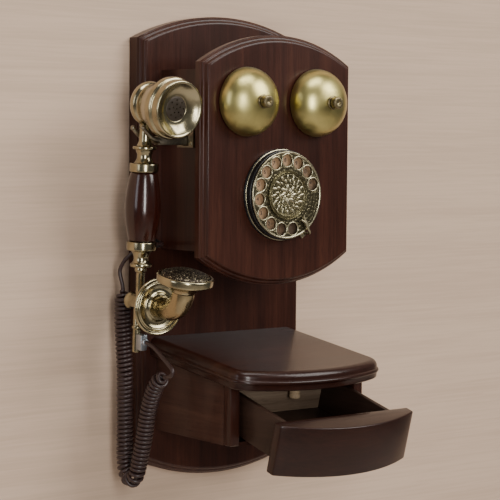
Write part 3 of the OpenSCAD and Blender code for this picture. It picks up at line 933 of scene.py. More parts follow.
SLOT_FINISHES: dict[str, Finish] = {
    "dark_wood": UPRIGHT_WOOD, "drawer_wood": DRAWER_WOOD, "pale_wood": PEG_WOOD,
    "handle_wood": HANDLE_WOOD, "bell_brass": BELL_BRASS, "dial_brass": DARK_BRASS,
    "handset_metal": PALE_BRASS, "black_plastic": BLACK_PLASTIC, "number_enamel": BLACK_PLASTIC,
    "ivory_plastic": IVORY_PLASTIC, "circuit": BOARD_GREEN, "clip_zinc": ZINC, "steel": STEEL,
    "coil_copper": COPPER, "cord_rubber": CORD_SHEATH,
}


# ---- the studio ----


@dataclass
class Studio:
    """The camera, the lights, the wall and the floor."""

    eye: Colour = (-1026.57, -1396.47, -30.36)
    heading: float = 37.53
    dip: float = 3.67
    roll: float = 0.44
    lens: float = 133.12
    sensor: float = 36.0
    wall_gap: float = 0.6
    floor_drop: float = 1500.0
    reach: float = 3500.0
    opening_half: float = 86.0
    opening_low: float = -325.0
    opening_high: float = 50.0
    aim: Colour = (-0.02, -0.08, -0.14)
    glow: Colour = (0.9, 0.88, 0.86)
    glow_strength: float = 0.12

    def camera(self) -> bpy.types.Object:
        """Stands the camera before the telephone, to its left.

        Returns:
            The camera.
        """
        turn, dip, roll = (math.radians(a) for a in (self.heading, self.dip, self.roll))
        ahead = Vector((math.sin(turn) * math.cos(dip), math.cos(turn) * math.cos(dip), -math.sin(dip)))
        level = Vector((math.cos(turn), -math.sin(turn), 0))
        upright = level.cross(ahead)
        right = math.cos(roll) * level + math.sin(roll) * upright
        up = math.cos(roll) * upright - math.sin(roll) * level
        data = bpy.data.cameras.new("camera")
        data.lens, data.sensor_width = self.lens, self.sensor
        camera = bpy.data.objects.new("camera", data)
        rows = Matrix((right, up, -ahead)).transposed().to_4x4()
        camera.matrix_world = Matrix.Translation(Vector(self.eye) * MM) @ rows
        bpy.context.scene.collection.objects.link(camera)
        bpy.context.scene.camera = camera
        return camera

    def light(self, name: str, place: Colour, size: Point, power: float,
              colour: Colour) -> bpy.types.Object:
        """Hangs one soft box that faces the telephone.

        Args:
            name: The light's name.
            place: Where it stands, in metres.
            size: Its width and height, in metres.
            power: Its power, in watts.
            colour: Its colour.

        Returns:
            The light.
        """
        data = bpy.data.lights.new(name, "AREA")
        data.shape = "RECTANGLE"
        data.size, data.size_y = size
        data.energy, data.color = power, colour
        lamp = bpy.data.objects.new(name, data)
        lamp.location = place
        lamp.rotation_mode = "QUATERNION"
        lamp.rotation_quaternion = (Vector(self.aim) - Vector(place)).to_track_quat("-Z", "Y")
        bpy.context.scene.collection.objects.link(lamp)
        return lamp

    def backdrop(self) -> list[bpy.types.Object]:
        """The papered wall, open behind the backboard so that light reaches its back, and the floor.

        Returns:
            Both planes.
        """
        wall, floor = Shape(), Shape()
        for plane in (wall, floor):
            bmesh.ops.create_grid(plane.bm, x_segments=1, y_segments=1, size=self.reach)
        wall.placed(Matrix.Translation((0, self.wall_gap, self.reach - self.floor_drop)) @ FACE_FRONT)
        floor.moved(0, -self.reach, -self.floor_drop)
        half, low, high = self.opening_half, self.opening_low, self.opening_high
        for x, z in ((-half, 0), (half, 0), (0, low), (0, high)):
            parts = [*wall.bm.verts, *wall.bm.edges, *wall.bm.faces]
            bmesh.ops.bisect_plane(wall.bm, geom=parts, plane_co=(x, 0, z),
                                   plane_no=(1, 0, 0) if x else (0, 0, 1))
        middles = {face: face.calc_center_median() for face in wall.bm.faces}
        hidden = [face for face, at in middles.items() if abs(at.x) < half and low < at.z < high]
        bmesh.ops.delete(wall.bm, geom=hidden, context="FACES")
        made = [make_piece("papered_wall", wall, WALLPAPER, ""),
                make_piece("floor", floor, FLOOR_PAINT, "")]
        return made

    def build(self) -> list[bpy.types.Object]:
        """Sets up the whole studio.

        Returns:
            The camera, the lights and the planes.
        """
        world = bpy.data.worlds.new("studio")
        world.use_nodes = True
        background = world.node_tree.nodes["Background"]
        background.inputs["Color"].default_value = (*self.glow, 1)
        background.inputs["Strength"].default_value = self.glow_strength
        bpy.context.scene.world = world
        return [
            self.camera(),
            self.light("key", (1.7, -2.3, 1.5), (1.8, 1.8), 80, (1, 0.96, 0.92)),
            self.light("front_strip", (-0.99, -2.2, 0.05), (0.42, 1.3), 30, (1, 0.98, 0.96)),
            self.light("top", (-0.1, -1.0, 1.9), (1.4, 0.8), 24, (1, 0.97, 0.94)),
            self.light("left_strip", (-2.4, -0.5, 0.4), (0.6, 1.5), 8, (0.95, 0.95, 1)),
            *self.backdrop(),
        ]


# ---- the cord ----


@dataclass
class Cord:
    """The curly cord from the jack on the backboard to the clip on the handset."""

    diameter: float = 3.6
    coil_diameter: float = 15.4
    pitch: float = 3.9
    clearance: float = 0.18
    loosest: float = 5.4
    ramp: float = 9.0
    turn_points: int = 16
    jack_lead: tuple[Colour, ...] = (
        (-80, -30, -132), (-80, -36, -132), (-85, -40, -131), (-94, -41, -132), (-103, -38, -134),
        (-110, -33, -138), (-115, -26, -146), (-117, -21, -155), (-116, -23, -164),
        (-115, -24, -168), (-115, -24, -171))
    coil: tuple[Colour, ...] = (
        (-115, -24, -171), (-115, -24, -182), (-115, -24, -199), (-115, -26, -226),
        (-115, -28, -244), (-115, -28, -266), (-115, -28, -289), (-115, -28, -306),
        (-115, -28, -322), (-115, -29, -331), (-115, -32, -338), (-115, -38, -342),
        (-115, -44, -339), (-115, -48, -333), (-115, -52, -321), (-115, -57, -307),
        (-115, -61, -292), (-115, -65, -276), (-115, -71, -262), (-115, -78, -251),
        (-115, -85, -245.5), (-115, -92, -243.6))
    clip_lead: tuple[Colour, ...] = (
        (-115, -92, -243.6), (-115, -96.2, -242.46), (-115, -100.2, -241.35),
        (-115, -101.74, -240.45), (-115, -102.65, -238.89), (-115, -102.65, -237.07),
        (-115, -101.95, -235.73), (-115, -96.3, -232.6), (-115, -91.7, -229.9), (-115, -85.6, -226.3),
        (-115, -79.5, -222.7), (-115, -73.3, -219.5), (-115, -67.5, -217), (-115, -61.2, -216))

    def centreline(self) -> list[Vector]:
        """The cord's own line: straight leads, and a helix round the coil's middle.

        Returns:
            Points in millimetres.
        """
        whole = [*self.jack_lead, *self.coil[1:], *self.clip_lead[1:]]
        axis = smooth_route(whole, 1.0, 14)
        first = min(range(len(axis)), key=lambda i: (axis[i] - Vector(self.coil[0])).length)
        last = min(range(len(axis)), key=lambda i: (axis[i] - Vector(self.coil[-1])).length)
        return [*axis[:first], *self.helix(axis[first - 1:last + 2]), *axis[last + 1:]]

    def helix(self, axis: Sequence[Vector]) -> list[Vector]:
        """The coiled part, wound looser where its middle bends.

        Args:
            axis: The coil's middle, evenly spaced, with one more point at each end.

        Returns:
            Points of the helix.
        """
        radius = (self.coil_diameter - self.diameter) / 2
        tightest = self.diameter + self.clearance
        middle = axis[1:-1]
        frames, side = [], Vector((1, 0, 0))
        for before, after in zip(axis, axis[2:]):
            ahead = (after - before).normalized()
            side = (side - ahead * side.dot(ahead)).normalized()
            frames.append((side, ahead.cross(side)))
        total = sum((b - a).length for a, b in zip(middle, middle[1:]))
        walked, phase, found = 0.0, 0.0, []
        for i, (here, after) in enumerate(zip(middle, middle[1:])):
            step = (after - here).length
            bend = (after - 2 * here + axis[i]).length / step ** 2
            pitch = max(self.pitch, min(self.loosest, tightest / max(0.2, 1 - radius * bend)))
            parts = max(2, round(self.turn_points * step / pitch))
            for share in (k / parts for k in range(parts)):
                reach = walked + step * share
                grow = min(1.0, reach / self.ramp, (total - reach) / self.ramp)
                swing = radius * grow * grow * (3 - 2 * grow)
                turn = phase + math.tau * step * share / pitch
                across, over = (u.lerp(v, share) for u, v in zip(frames[i], frames[i + 1]))
                out = across * math.cos(turn) + over * math.sin(turn)
                found.append(here.lerp(after, share) + out * swing)
            phase += math.tau * step / pitch
            walked += step
        return found

    def build(self) -> list[bpy.types.Object]:
        """Returns:
            The cord.
        """
        line = self.centreline()
        cord = make_piece("curly_cord", Shape.rod(line, self.diameter / 2, 10), CORD_SHEATH, "",
                          ("cord_lead_jack", "cord_coil", "cord_lead_clip"), 60)
        path = [tuple(p * MM) for p in line]
        length = sum((b - a).length for a, b in zip(line, line[1:])) * MM
        LOG.info("cord length %.3f m, %d points", length, len(line))
        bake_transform(cord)
        return [cord]


# ---- wooden parts ----


@dataclass
class ArchedSlab:
    """An upright board with an arched top and foot and a double bead round its front edge."""

    name: str
    shoulder: float
    heel: float
    bead: float = 2.7
    back_ease: float = 0.6

    def shape(self) -> Shape:
        """The board's shape, from its CAD node's box.

        Returns:
            The shape, in place.
        """
        span = Span.of(self.name)
        width, thick = span.size.x, span.size.y
        top = arch(width, self.shoulder, span.high.z)
        foot = [(-x, z) for x, z in arch(width, self.heel, span.low.z)]
        first = thick - 2 * self.bead - 0.6 - self.back_ease
        quirk = 0.9
        step = quirk + self.bead + 0.3
        above = [
            (0, first - 0.5), (quirk, first),
            *arc_points((quirk + self.bead, first), self.bead, 180, 90, 6)[1:],
            (step, first + self.bead + 0.6),
            *arc_points((step + self.bead, first + self.bead + 0.6), self.bead, 180, 90, 6)[1:],
        ]
        slab = Shape.moulded([*top, *foot], self.back_ease, above, [(self.back_ease, self.back_ease)])
        return slab.placed(Matrix.Translation((0, span.high.y, 0)) @ FACE_FRONT)


@dataclass
class Woodwork:
    """The backboard, the bell box, the shelf and the cabinet."""

    board_shoulder: float = 53.3
    board_heel: float = -329.2
    panel_shoulder: float = 29.9
    panel_heel: float = -140.9
    hanger_gap: float = 110.0
    slot_x: float = 16.0
    slot_half: float = 5.0
    shelf_back: float = -217.1
    shelf_slope: float = 7.8
    shelf_thick: float = 16.5
    shelf_half: float = 83.5
    shelf_side: float = 133.0
    shelf_nose: float = 153.0
    shelf_corner: float = 12.0
    shelf_bead: float = 2.0
    shelf_bead_level: float = 7.2
    shelf_tail: float = 20.0
    recess_depth: float = 11.0

    def backboard(self) -> bpy.types.Object:
        """The backboard with its two hanger recesses."""
        board = ArchedSlab("backboard", self.board_shoulder, self.board_heel).shape()
        for side in (-1, 1):
            x = side * self.hanger_gap / 2
            board.less(Shape.board((x - 15, -1.6, -10), (x + 15, 1, 16), 0))
            board.less(Shape.board((x - 10, -self.recess_depth, -8), (x + 10, 1, 14), 0))
        return make_piece("moulded_backboard", board, UPRIGHT_WOOD, "phone", ["backboard"])

    def front_panel(self) -> bpy.types.Object:
        """The bell box's front with its dial opening and hammer slots."""
        span, dial, bell = Span.of("front_panel"), Span.of("dial_case"), Span.of("bell_left")
        panel = ArchedSlab("front_panel", self.panel_shoulder, self.panel_heel).shape()
        opening = Shape.turned([(0, 0), (28.3, 0), (28.3, 40), (0, 40)], 48)
        opening.placed(Matrix.Translation((0, span.high.y + 10, dial.centre.z)) @ FACE_FRONT)
        panel.less(opening)
        for side in (-1, 1):
            low = (side * self.slot_x - self.slot_half, span.low.y - 2, bell.centre.z - 4.5)
            high = (side * self.slot_x + self.slot_half, span.high.y + 2, bell.centre.z + 4.5)
            panel.less(Shape.board(low, high, 0))
        return make_piece("moulded_front_panel", panel, UPRIGHT_WOOD, "phone", ["front_panel"])

    def shelf(self) -> bpy.types.Object:
        """The sloped shelf: a bowed front, blunt corners, a rounded top edge and a bead below it."""
        back_y = Span.of("shelf").high.y
        half, side, reach = self.shelf_half, self.shelf_side, self.shelf_corner
        bow = [(x, -y) for x, y in arch(2 * half, side, self.shelf_nose) if abs(x) < half - reach][::-1]
        right = corner_curve(Vector(bow[-1]), Vector((half, -side)), Vector((half, reach - side)),
                             (0.2, 0.4, 0.6, 0.8, 1.0))
        left = [(-x, y) for x, y in right[::-1]]
        outline = [(-half, self.shelf_tail), *left, *bow, *right, (half, self.shelf_tail)]
        bead = [(self.shelf_bead * (1 - math.cos(math.radians(a))),
                 self.shelf_bead * math.sin(math.radians(a))) for a in (18, 36, 54, 68)]
        above = [*bead, (1.6, 2.1), (1.9, 2.9), *arc_points((8.1, 3.1), 6.2, 180, 90, 8)]
        below = [*bead, (1.4, 2.2), (1.5, 6.2), (2.4, self.shelf_bead_level)]
        slab = Shape.moulded(outline, self.shelf_bead_level, above, below)
        tilt = Matrix.Rotation(math.radians(self.shelf_slope), 4, "X")
        drop = Matrix.Translation((0, 0, -self.shelf_thick))
        slab.placed(Matrix.Translation((0, back_y, self.shelf_back)) @ tilt @ drop)
        slab.trimmed((0, back_y, 0), (0, 1, 0))
        # The shelf's wood is darkened as painted shade.
        return make_piece("moulded_shelf", slab, SHADED_LEVEL_WOOD, "phone", ["shelf"])

    def posts(self) -> list[bpy.types.Object]:
        """The cabinet's front posts, each with a bead down its outer corner."""
        made = []
        for side, word in ((-1, "left"), (1, "right")):
            span = Span.of(f"stile_{word}")
            post = Shape.board(span.low, span.high - Vector((0, 0, 1.4)), 1.0)
            x = span.low.x + 1.7 if side < 0 else span.high.x - 1.7
            line = [(x, span.low.y + 1.7, span.low.z + 0.5), (x, span.low.y + 1.7, span.high.z - 3)]
            post.plus(Shape.rod(line, 1.7, 16))
            made.append(make_piece(f"beaded_post_{word}", post, UPRIGHT_WOOD, "phone",
                                   [f"stile_{word}"]))
        return made

    def stop_peg(self) -> bpy.types.Object:
        """The turned peg that stops the drawer."""
        span = Span.of("stop_peg")
        radius, height = span.size.x / 2, span.size.z
        profile = softened([(0, 0), (radius - 0.9, 0), (radius, 1.0), (radius, 4.2),
                            (radius - 0.5, 4.8), (radius, 5.4), (radius, height - 1), (0, height - 1)], 0.6)
        peg = Shape.turned(profile, 32).moved(span.centre.x, span.centre.y, span.low.z)
        return make_piece("turned_peg", peg, PEG_WOOD, "phone", ["stop_peg"])

    def build(self) -> list[bpy.types.Object]:
        """Makes all the wooden parts that don't move."""
        # The level boards' wood is darkened as painted shade.
        for node, finish in (("cabinet_side_left", SIDE_WOOD), ("cabinet_side_right", SIDE_WOOD),
                             ("cabinet_bottom", SHADED_LEVEL_WOOD), ("box_top_board", SHADED_LEVEL_WOOD),
                             ("box_bottom_board", SHADED_LEVEL_WOOD)):
            dress(node, finish)
        return [self.backboard(), self.front_panel(), self.shelf(), *self.posts(), self.stop_peg()]


@dataclass
class Drawer:
    """The bowed drawer, made closed and then swung open about its far pole."""

    pole: Colour = (0, -103.6, -497.3)
    droop: float = 14.8
    back_y: float = -132.5
    low: float = -296.8
    half: float = 60.6
    height: float = 35.6
    depth: float = 98.0
    wall: float = 5.0
    floor: float = 3.0
    end_wall: float = 4.0
    front_half: float = 74.5
    front_height: float = 45.0
    front_end: float = 9.0
    front_bow: float = 17.9
    overhang: float = 3.4

    def opened(self, shape: Shape) -> Shape:
        """Swings a closed piece to where the open drawer hangs."""
        there = Matrix.Translation(self.pole)
        turn = Matrix.Rotation(math.radians(self.droop), 4, "X")
        return shape.placed(there @ turn @ there.inverted())

    def front(self) -> Shape:
        """The bowed front with eased edges."""
        bow = arch(2 * self.front_half, self.front_end, self.front_end + self.front_bow, 28)
        outline = [(-self.front_half, 0), *[(x, -y) for x, y in bow][::-1], (self.front_half, 0)]
        base = self.low + self.height + self.overhang - self.front_height
        return Shape.plate(outline, self.front_height).eased(1.3, 3).moved(0, self.back_y, base)

    def build(self) -> list[bpy.types.Object]:
        """Makes the drawer's five boards."""
        inner, end = self.half - self.wall, self.back_y + self.depth
        top = self.low + self.height
        boards = {
            "drawer_side_left": ((-self.half, self.back_y, self.low), (-inner, end, top)),
            "drawer_side_right": ((inner, self.back_y, self.low), (self.half, end, top)),
            "drawer_back": ((-inner, end - self.end_wall, self.low + self.floor), (inner, end, top)),
            "drawer_bottom": ((-inner, self.back_y, self.low), (inner, end, self.low + self.floor)),
        }
        # The drawer front's wood is darkened as painted shade.
        made = [make_piece("bowed_drawer_front", self.opened(self.front()), SHADED_LEVEL_WOOD, "drawer",
                           ["drawer_front"])]
        for node, (low, high) in boards.items():
            finish = DRAWER_BACK_WOOD if node == "drawer_back" else DRAWER_WOOD
            board = Shape.board(low, high, 0.5)
            made.append(make_piece(f"eased_{node}", self.opened(board), finish, "drawer", [node]))
        return made


# ---- bells and dial ----


@dataclass
class Bells:
    """The two bells with their nuts."""

    wall: float = 1.4
    lip: float = 0.5
    top_hole: float = 3.2

    def bell(self, word: str) -> bpy.types.Object:
        """One dished bell with a rolled lip.

        Args:
            word: left or right.

        Returns:
            The bell.
        """
        span = Span.of(f"bell_{word}")
        radius, depth = span.size.x / 2, span.size.y
        top = math.degrees(math.acos(self.top_hole / radius))

        def dome(r: float, d: float) -> list[Point]:
            """Points from the rim up to the top hole."""
            angles = [math.radians(top * i / 28) for i in range(29)]
            return [(r * math.cos(a) ** 0.96, d * math.sin(a)) for a in angles]

        outer = [(radius - self.lip, 0), (radius, self.lip), *dome(radius, depth)[2:]]
        inner = dome(radius - self.wall, depth - self.wall)
        shell = Shape.turned([*outer, *inner[::-1]], 96, closed=True)
        centre = (span.centre.x, span.high.y, span.centre.z)
        shell.placed(Matrix.Translation(centre) @ FACE_FRONT)
        return make_piece(f"dished_bell_{word}", shell, BELL_BRASS, "phone", [f"bell_{word}"],
                          40)

    def nut(self, word: str) -> list[bpy.types.Object]:
        """The washer and the waisted, dimpled nut that hold a bell.

        Args:
            word: left or right.

        Returns:
            The nut and its washer.
        """
        span = Span.of(f"bell_nut_{word}")
        base, height = (span.centre.x, span.high.y, span.centre.z), span.size.y
        place = Matrix.Translation(base) @ FACE_FRONT
        washer = softened([(3.05, 0), (6.1, 0), (6.3, 0.7), (5.9, 1.4), (3.05, 1.4)], 0.35)
        body = softened([(3.05, 1.4), (4.2, 1.4), (4.2, 2.6), (5.2, 3.1), (5.4, 3.8),
                         (5.4, height - 1.0), (4.6, height), (2.1, height), (1.7, height - 1.2),
                         (0, height - 1.5)], 0.35)
        return [
            make_piece(f"nut_washer_{word}", Shape.turned(washer, 48, closed=True).placed(place),
                       NUT_BRASS, "phone"),
            make_piece(f"dimpled_nut_{word}", Shape.turned(body, 40).placed(place), NUT_BRASS, "phone",
                       [f"bell_nut_{word}"]),
        ]

    def build(self) -> list[bpy.types.Object]:
        """Makes both bells."""
        return [piece for word in ("left", "right") for piece in (self.bell(word), *self.nut(word))]


@dataclass
class Dial:
    """The rotary dial with its finger wheel, number plate, medallion and finger stop."""

    holes: int = 12
    hole_radius: float = 5.3
    hole_circle: float = 30.9
    hole_step: float = 24.1
    hole_start: float = 17.7
    stop_angle: float = -54.0
    marks: str = "1234567890*#"

    def __post_init__(self) -> None:
        """Takes the dial's places from the frame."""
        self.wheel = Span.of("finger_wheel")
        self.base = Span.of("dial_base")
        self.centre = tuple(self.wheel.centre * MM)
        self.chased = ChasedMetal("chased_wheel", (0.27, 0.24, 0.145), (0.06, 0.052, 0.03), self.centre,
                                  300, 0.0003)
        self.chased_fine = ChasedMetal("chased_medallion", (0.27, 0.24, 0.13), (0.075, 0.064, 0.032),
                                       self.centre, 520, 0.00015)

    def on_face(self, shape: Shape, y: float) -> Shape:
        """Puts a shape drawn on the ground before the dial at that depth, facing the front."""
        middle = self.wheel.centre
        return shape.placed(Matrix.Translation((middle.x, y, middle.z)) @ FACE_FRONT)

    def ring_base(self) -> list[bpy.types.Object]:
        """The black base ring and the bright trim round it."""
        profile = softened([(30, 0), (41, 0), (41, 2), (40.2, 2.6), (40.2, 7), (39.8, 8.6),
                            (38.2, 8.6), (37.6, 8), (37.6, 2.2), (30, 2.2), (30, 0)], 0.4)
        ring = self.on_face(Shape.turned(profile, 96), self.base.high.y)
        trim = softened([(40.1, 2.7), (40.7, 2.9), (40.7, 3.5), (40.1, 3.7), (40.1, 2.7)], 0.2)
        bright = self.on_face(Shape.turned(trim, 96), self.base.high.y)
        return [make_piece("dial_ring", ring, BLACK_PLASTIC, "phone", ["dial_base"]),
                make_piece("dial_trim", bright, RIM_BRASS, "phone")]

    def number_plate(self) -> list[bpy.types.Object]:
        """The enamelled plate and its numerals."""
        span = Span.of("number_plate")
        thick, rim = span.size.y, span.size.x / 2
        profile = softened([(4.05, 0), (29.5, 0), (29.5, thick - 1.8), (rim, thick - 1.8),
                            (rim, thick), (4.05, thick)], 0.3)
        plate = self.on_face(Shape.turned(profile, 72, closed=True), span.high.y)
        numerals = Shape()
        for i, mark in enumerate(self.marks):
            angle = math.radians(self.hole_start + (self.holes - 2 - i) * self.hole_step % 360)
            x, z = self.hole_circle * math.cos(angle), self.hole_circle * math.sin(angle)
            numerals.plus(Shape.digit(mark, 5.4, 0.2).moved(x, z, 0))
        self.on_face(numerals, span.low.y - 0.08)
        # The plate's tan towards the upper left is painted light, its dark brown painted shade.
        enamel = Enamel("number_enamel", (0.06, 0.036, 0.02), (0.33, 0.2, 0.105), self.centre)
        return [make_piece("enamel_plate", plate, enamel, "phone", ["number_plate"]),
                make_piece("numerals", numerals, MARK_PAINT, "phone")]

    def finger_wheel(self) -> list[bpy.types.Object]:
        """The chased wheel, the rims of its holes and its bright edge."""
        radius, thick = self.wheel.size.x / 2, self.wheel.size.y
        profile = softened([(0, 0), (radius - 0.4, 0), (radius - 0.2, thick * 0.7),
                            (radius - 1.6, thick - 0.35), (0, thick - 0.35)], 0.3)
        disc = Shape.turned(profile, 96)
        cutter = Shape.turned([(0, -1), (self.hole_radius, -1), (self.hole_radius, 4), (0, 4)], 32)
        rim = softened([(self.hole_radius, 0), (self.hole_radius, thick - 0.4),
                        (self.hole_radius + 0.45, thick), (self.hole_radius + 1.0, thick - 0.1),
                        (self.hole_radius + 1.3, thick - 0.5), (self.hole_radius + 1.2, 0.3)], 0.25)
        ring = Shape.turned(rim, 36, closed=True)
        cutters, rims = Shape(), Shape()
        for i in range(self.holes):
            turn = Matrix.Rotation(math.radians(self.hole_start + i * self.hole_step), 4, "Z")
            spot = turn @ Matrix.Translation((self.hole_circle, 0, 0))
            cutters.plus(cutter.copied().placed(spot))
            rims.plus(ring.copied().placed(spot))
        disc.less(cutters)
        edge = softened([(radius - 2.0, thick - 0.5), (radius - 1.4, thick - 0.05),
                         (radius - 0.5, thick), (radius, thick - 0.6), (radius, 0.5),
                         (radius - 0.5, 0), (radius - 1.2, 0.1)], 0.3)
        band = Shape.turned(edge, 120, closed=True)
        back = self.wheel.high.y
        return [
            make_piece("chased_finger_wheel", self.on_face(disc, back), self.chased, "dial",
                       ["finger_wheel"]),
            make_piece("finger_hole_rims", self.on_face(rims, back), RIM_BRASS, "dial"),
            make_piece("finger_wheel_edge", self.on_face(band, back), RIM_BRASS, "dial"),
        ]

    def medallion(self) -> list[bpy.types.Object]:
        """The raised middle: two fine rings, a wreath of leaves and a small flower."""
        front = Span.of("dial_medallion").high.y
        profile = softened([(0, 0.9), (19.4, 0.9), (19.7, 1.2), (20.0, 1.6), (20.4, 1.2), (21.0, 1.2),
                            (21.3, 1.7), (21.7, 1.3), (21.8, 0.4), (21.8, 0), (0, 0)], 0.15)
        disc = Shape.turned(profile, 96)
        relief = Shape()
        for count, reach, leaf, start in ((16, 15.6, (3.0, 1.15, 0.55), 0.0),
                                          (16, 12.4, (2.2, 0.9, 0.55), 11.25),
                                          (8, 6.4, (3.6, 1.7, 0.75), 0.0),
                                          (8, 4.6, (2.4, 1.2, 0.85), 22.5)):
            one = Shape()
            bmesh.ops.create_uvsphere(one.bm, u_segments=14, v_segments=8, radius=1)
            one.scaled(*leaf).placed(Matrix.Rotation(math.radians(18), 4, "Z")).moved(reach, 0, 0.95)
            relief.plus(one.round_axis(count, start))
        bead = Shape()
        bmesh.ops.create_uvsphere(bead.bm, u_segments=10, v_segments=6, radius=0.42)
        relief.plus(bead.copied().moved(18.5, 0, 1.0).round_axis(72),
                    bead.copied().moved(9.6, 0, 1.0).round_axis(36),
                    bead.scaled(3.6, 3.6, 2.0).moved(0, 0, 1.2))
        return [make_piece("medallion_disc", self.on_face(disc, front), self.chased_fine, "dial",
                           ["dial_medallion"]),
                make_piece("medallion_wreath", self.on_face(relief, front), RIM_BRASS, "dial")]

    def finger_stop(self) -> bpy.types.Object:
        """The curved finger stop with its foot on the panel."""
        turn = Matrix.Rotation(math.radians(self.stop_angle), 4, "Z")
        foot = Shape.board((41.6, -3.2, 0), (47, 3.2, 1.6), 0.5)
        riser = smooth_route([(43.2, 0, 1), (43.3, 0, 9), (42.4, 0, 12.6), (38, 0.2, 13.4),
                              (33, 1.2, 13.3), (28.6, 2.6, 13.1), (25.8, 2.0, 13.0)], 0.8, 4)
        widths = [1.0 + 0.35 * math.sin(math.pi * i / (len(riser) - 1)) for i in range(len(riser))]
        arm = Shape.rod(riser, 1.0, 12, widths)
        tip = Shape.rod(smooth_route([(33, 1.2, 13.3), (29.4, 0.0, 13.3), (26.6, -1.4, 13.0)], 0.8, 3),
                        1.0, 12)
        stop = self.on_face(foot.plus(arm, tip).placed(turn), self.base.high.y)
        return make_piece("curved_finger_stop", stop, RIM_BRASS, "phone", ["finger_stop"])

    def build(self) -> list[bpy.types.Object]:
        """Makes the whole dial."""
        return [*self.ring_base(), *self.number_plate(), *self.finger_wheel(), *self.medallion(),
                self.finger_stop()]


# ---- hook and handset ----


@dataclass
class Hook:
    """The forked hook arm and the screws of its plate."""

    hook_y: float = -58.3
    hook_z: float = -39.0
    fork_x: float = -104.0
    pivot_x: float = -52.0
    tip: Point = (-122.5, -28.0)
    prong_gap: float = 8.0

    def arm(self) -> bpy.types.Object:
        """The arm, its crossbar and two prongs with ball ends."""
        y, z = self.hook_y, self.hook_z
        shape = Shape.board((self.fork_x, y - 3.5, z - 4), (self.pivot_x + 14, y + 3.5, z + 4), 1.2)
        shape.plus(Shape.rod([(self.fork_x, y - self.prong_gap - 1.8, z),
                              (self.fork_x, y + self.prong_gap + 1.8, z)], 2.6, 16))
        for side in (-1, 1):
            py = y + side * self.prong_gap
            bend = smooth_route([(self.fork_x, py, z), (self.fork_x - 8, py, z + 1.5),
                                 (self.tip[0] + 3, py, self.tip[1] - 3.4), (self.tip[0], py, self.tip[1])],
                                1.2, 4)
            ball = Shape()
            bmesh.ops.create_uvsphere(ball.bm, u_segments=20, v_segments=12, radius=2.3)
            shape.plus(Shape.rod(bend, 2.0, 14), ball.moved(self.tip[0], py, self.tip[1]))
        return make_piece("forked_hook", shape, HOOK_METAL, "hook", ["hook_lever"])

    def screws(self) -> list[bpy.types.Object]:
        """Slotted screws in the hook's plate."""
        plate = Span.of("hook_plate")
        made = []
        spots = ((-8.2, 3.0), (8.2, 3.0), (-8.2, 36.0), (8.2, 36.0))
        for i, (across, up) in enumerate(spots):
            head = softened([(0, 0), (2.3, 0), (2.3, 0.4), (1.7, 0.95), (0, 1.1)], 0.3)
            screw = Shape.turned(head, 28).less(Shape.board((-3, -0.3, 0.55), (3, 0.3, 2), 0))
            screw.placed(Matrix.Rotation(math.radians(35 + 50 * i), 4, "Z"))
            face_left = Matrix.Rotation(math.radians(-90), 4, "Y")
            spot = (plate.low.x + 0.2, self.hook_y + across, plate.low.z + up)
            screw.placed(Matrix.Translation(spot) @ face_left)
            made.append(make_piece(f"hook_screw_{i + 1}", screw, RIM_BRASS, "phone"))
        return made

    def build(self) -> list[bpy.types.Object]:
        """Makes the hook's visible pieces."""
        dress("hook_plate", HOOK_METAL)
        return [self.arm(), *self.screws()]


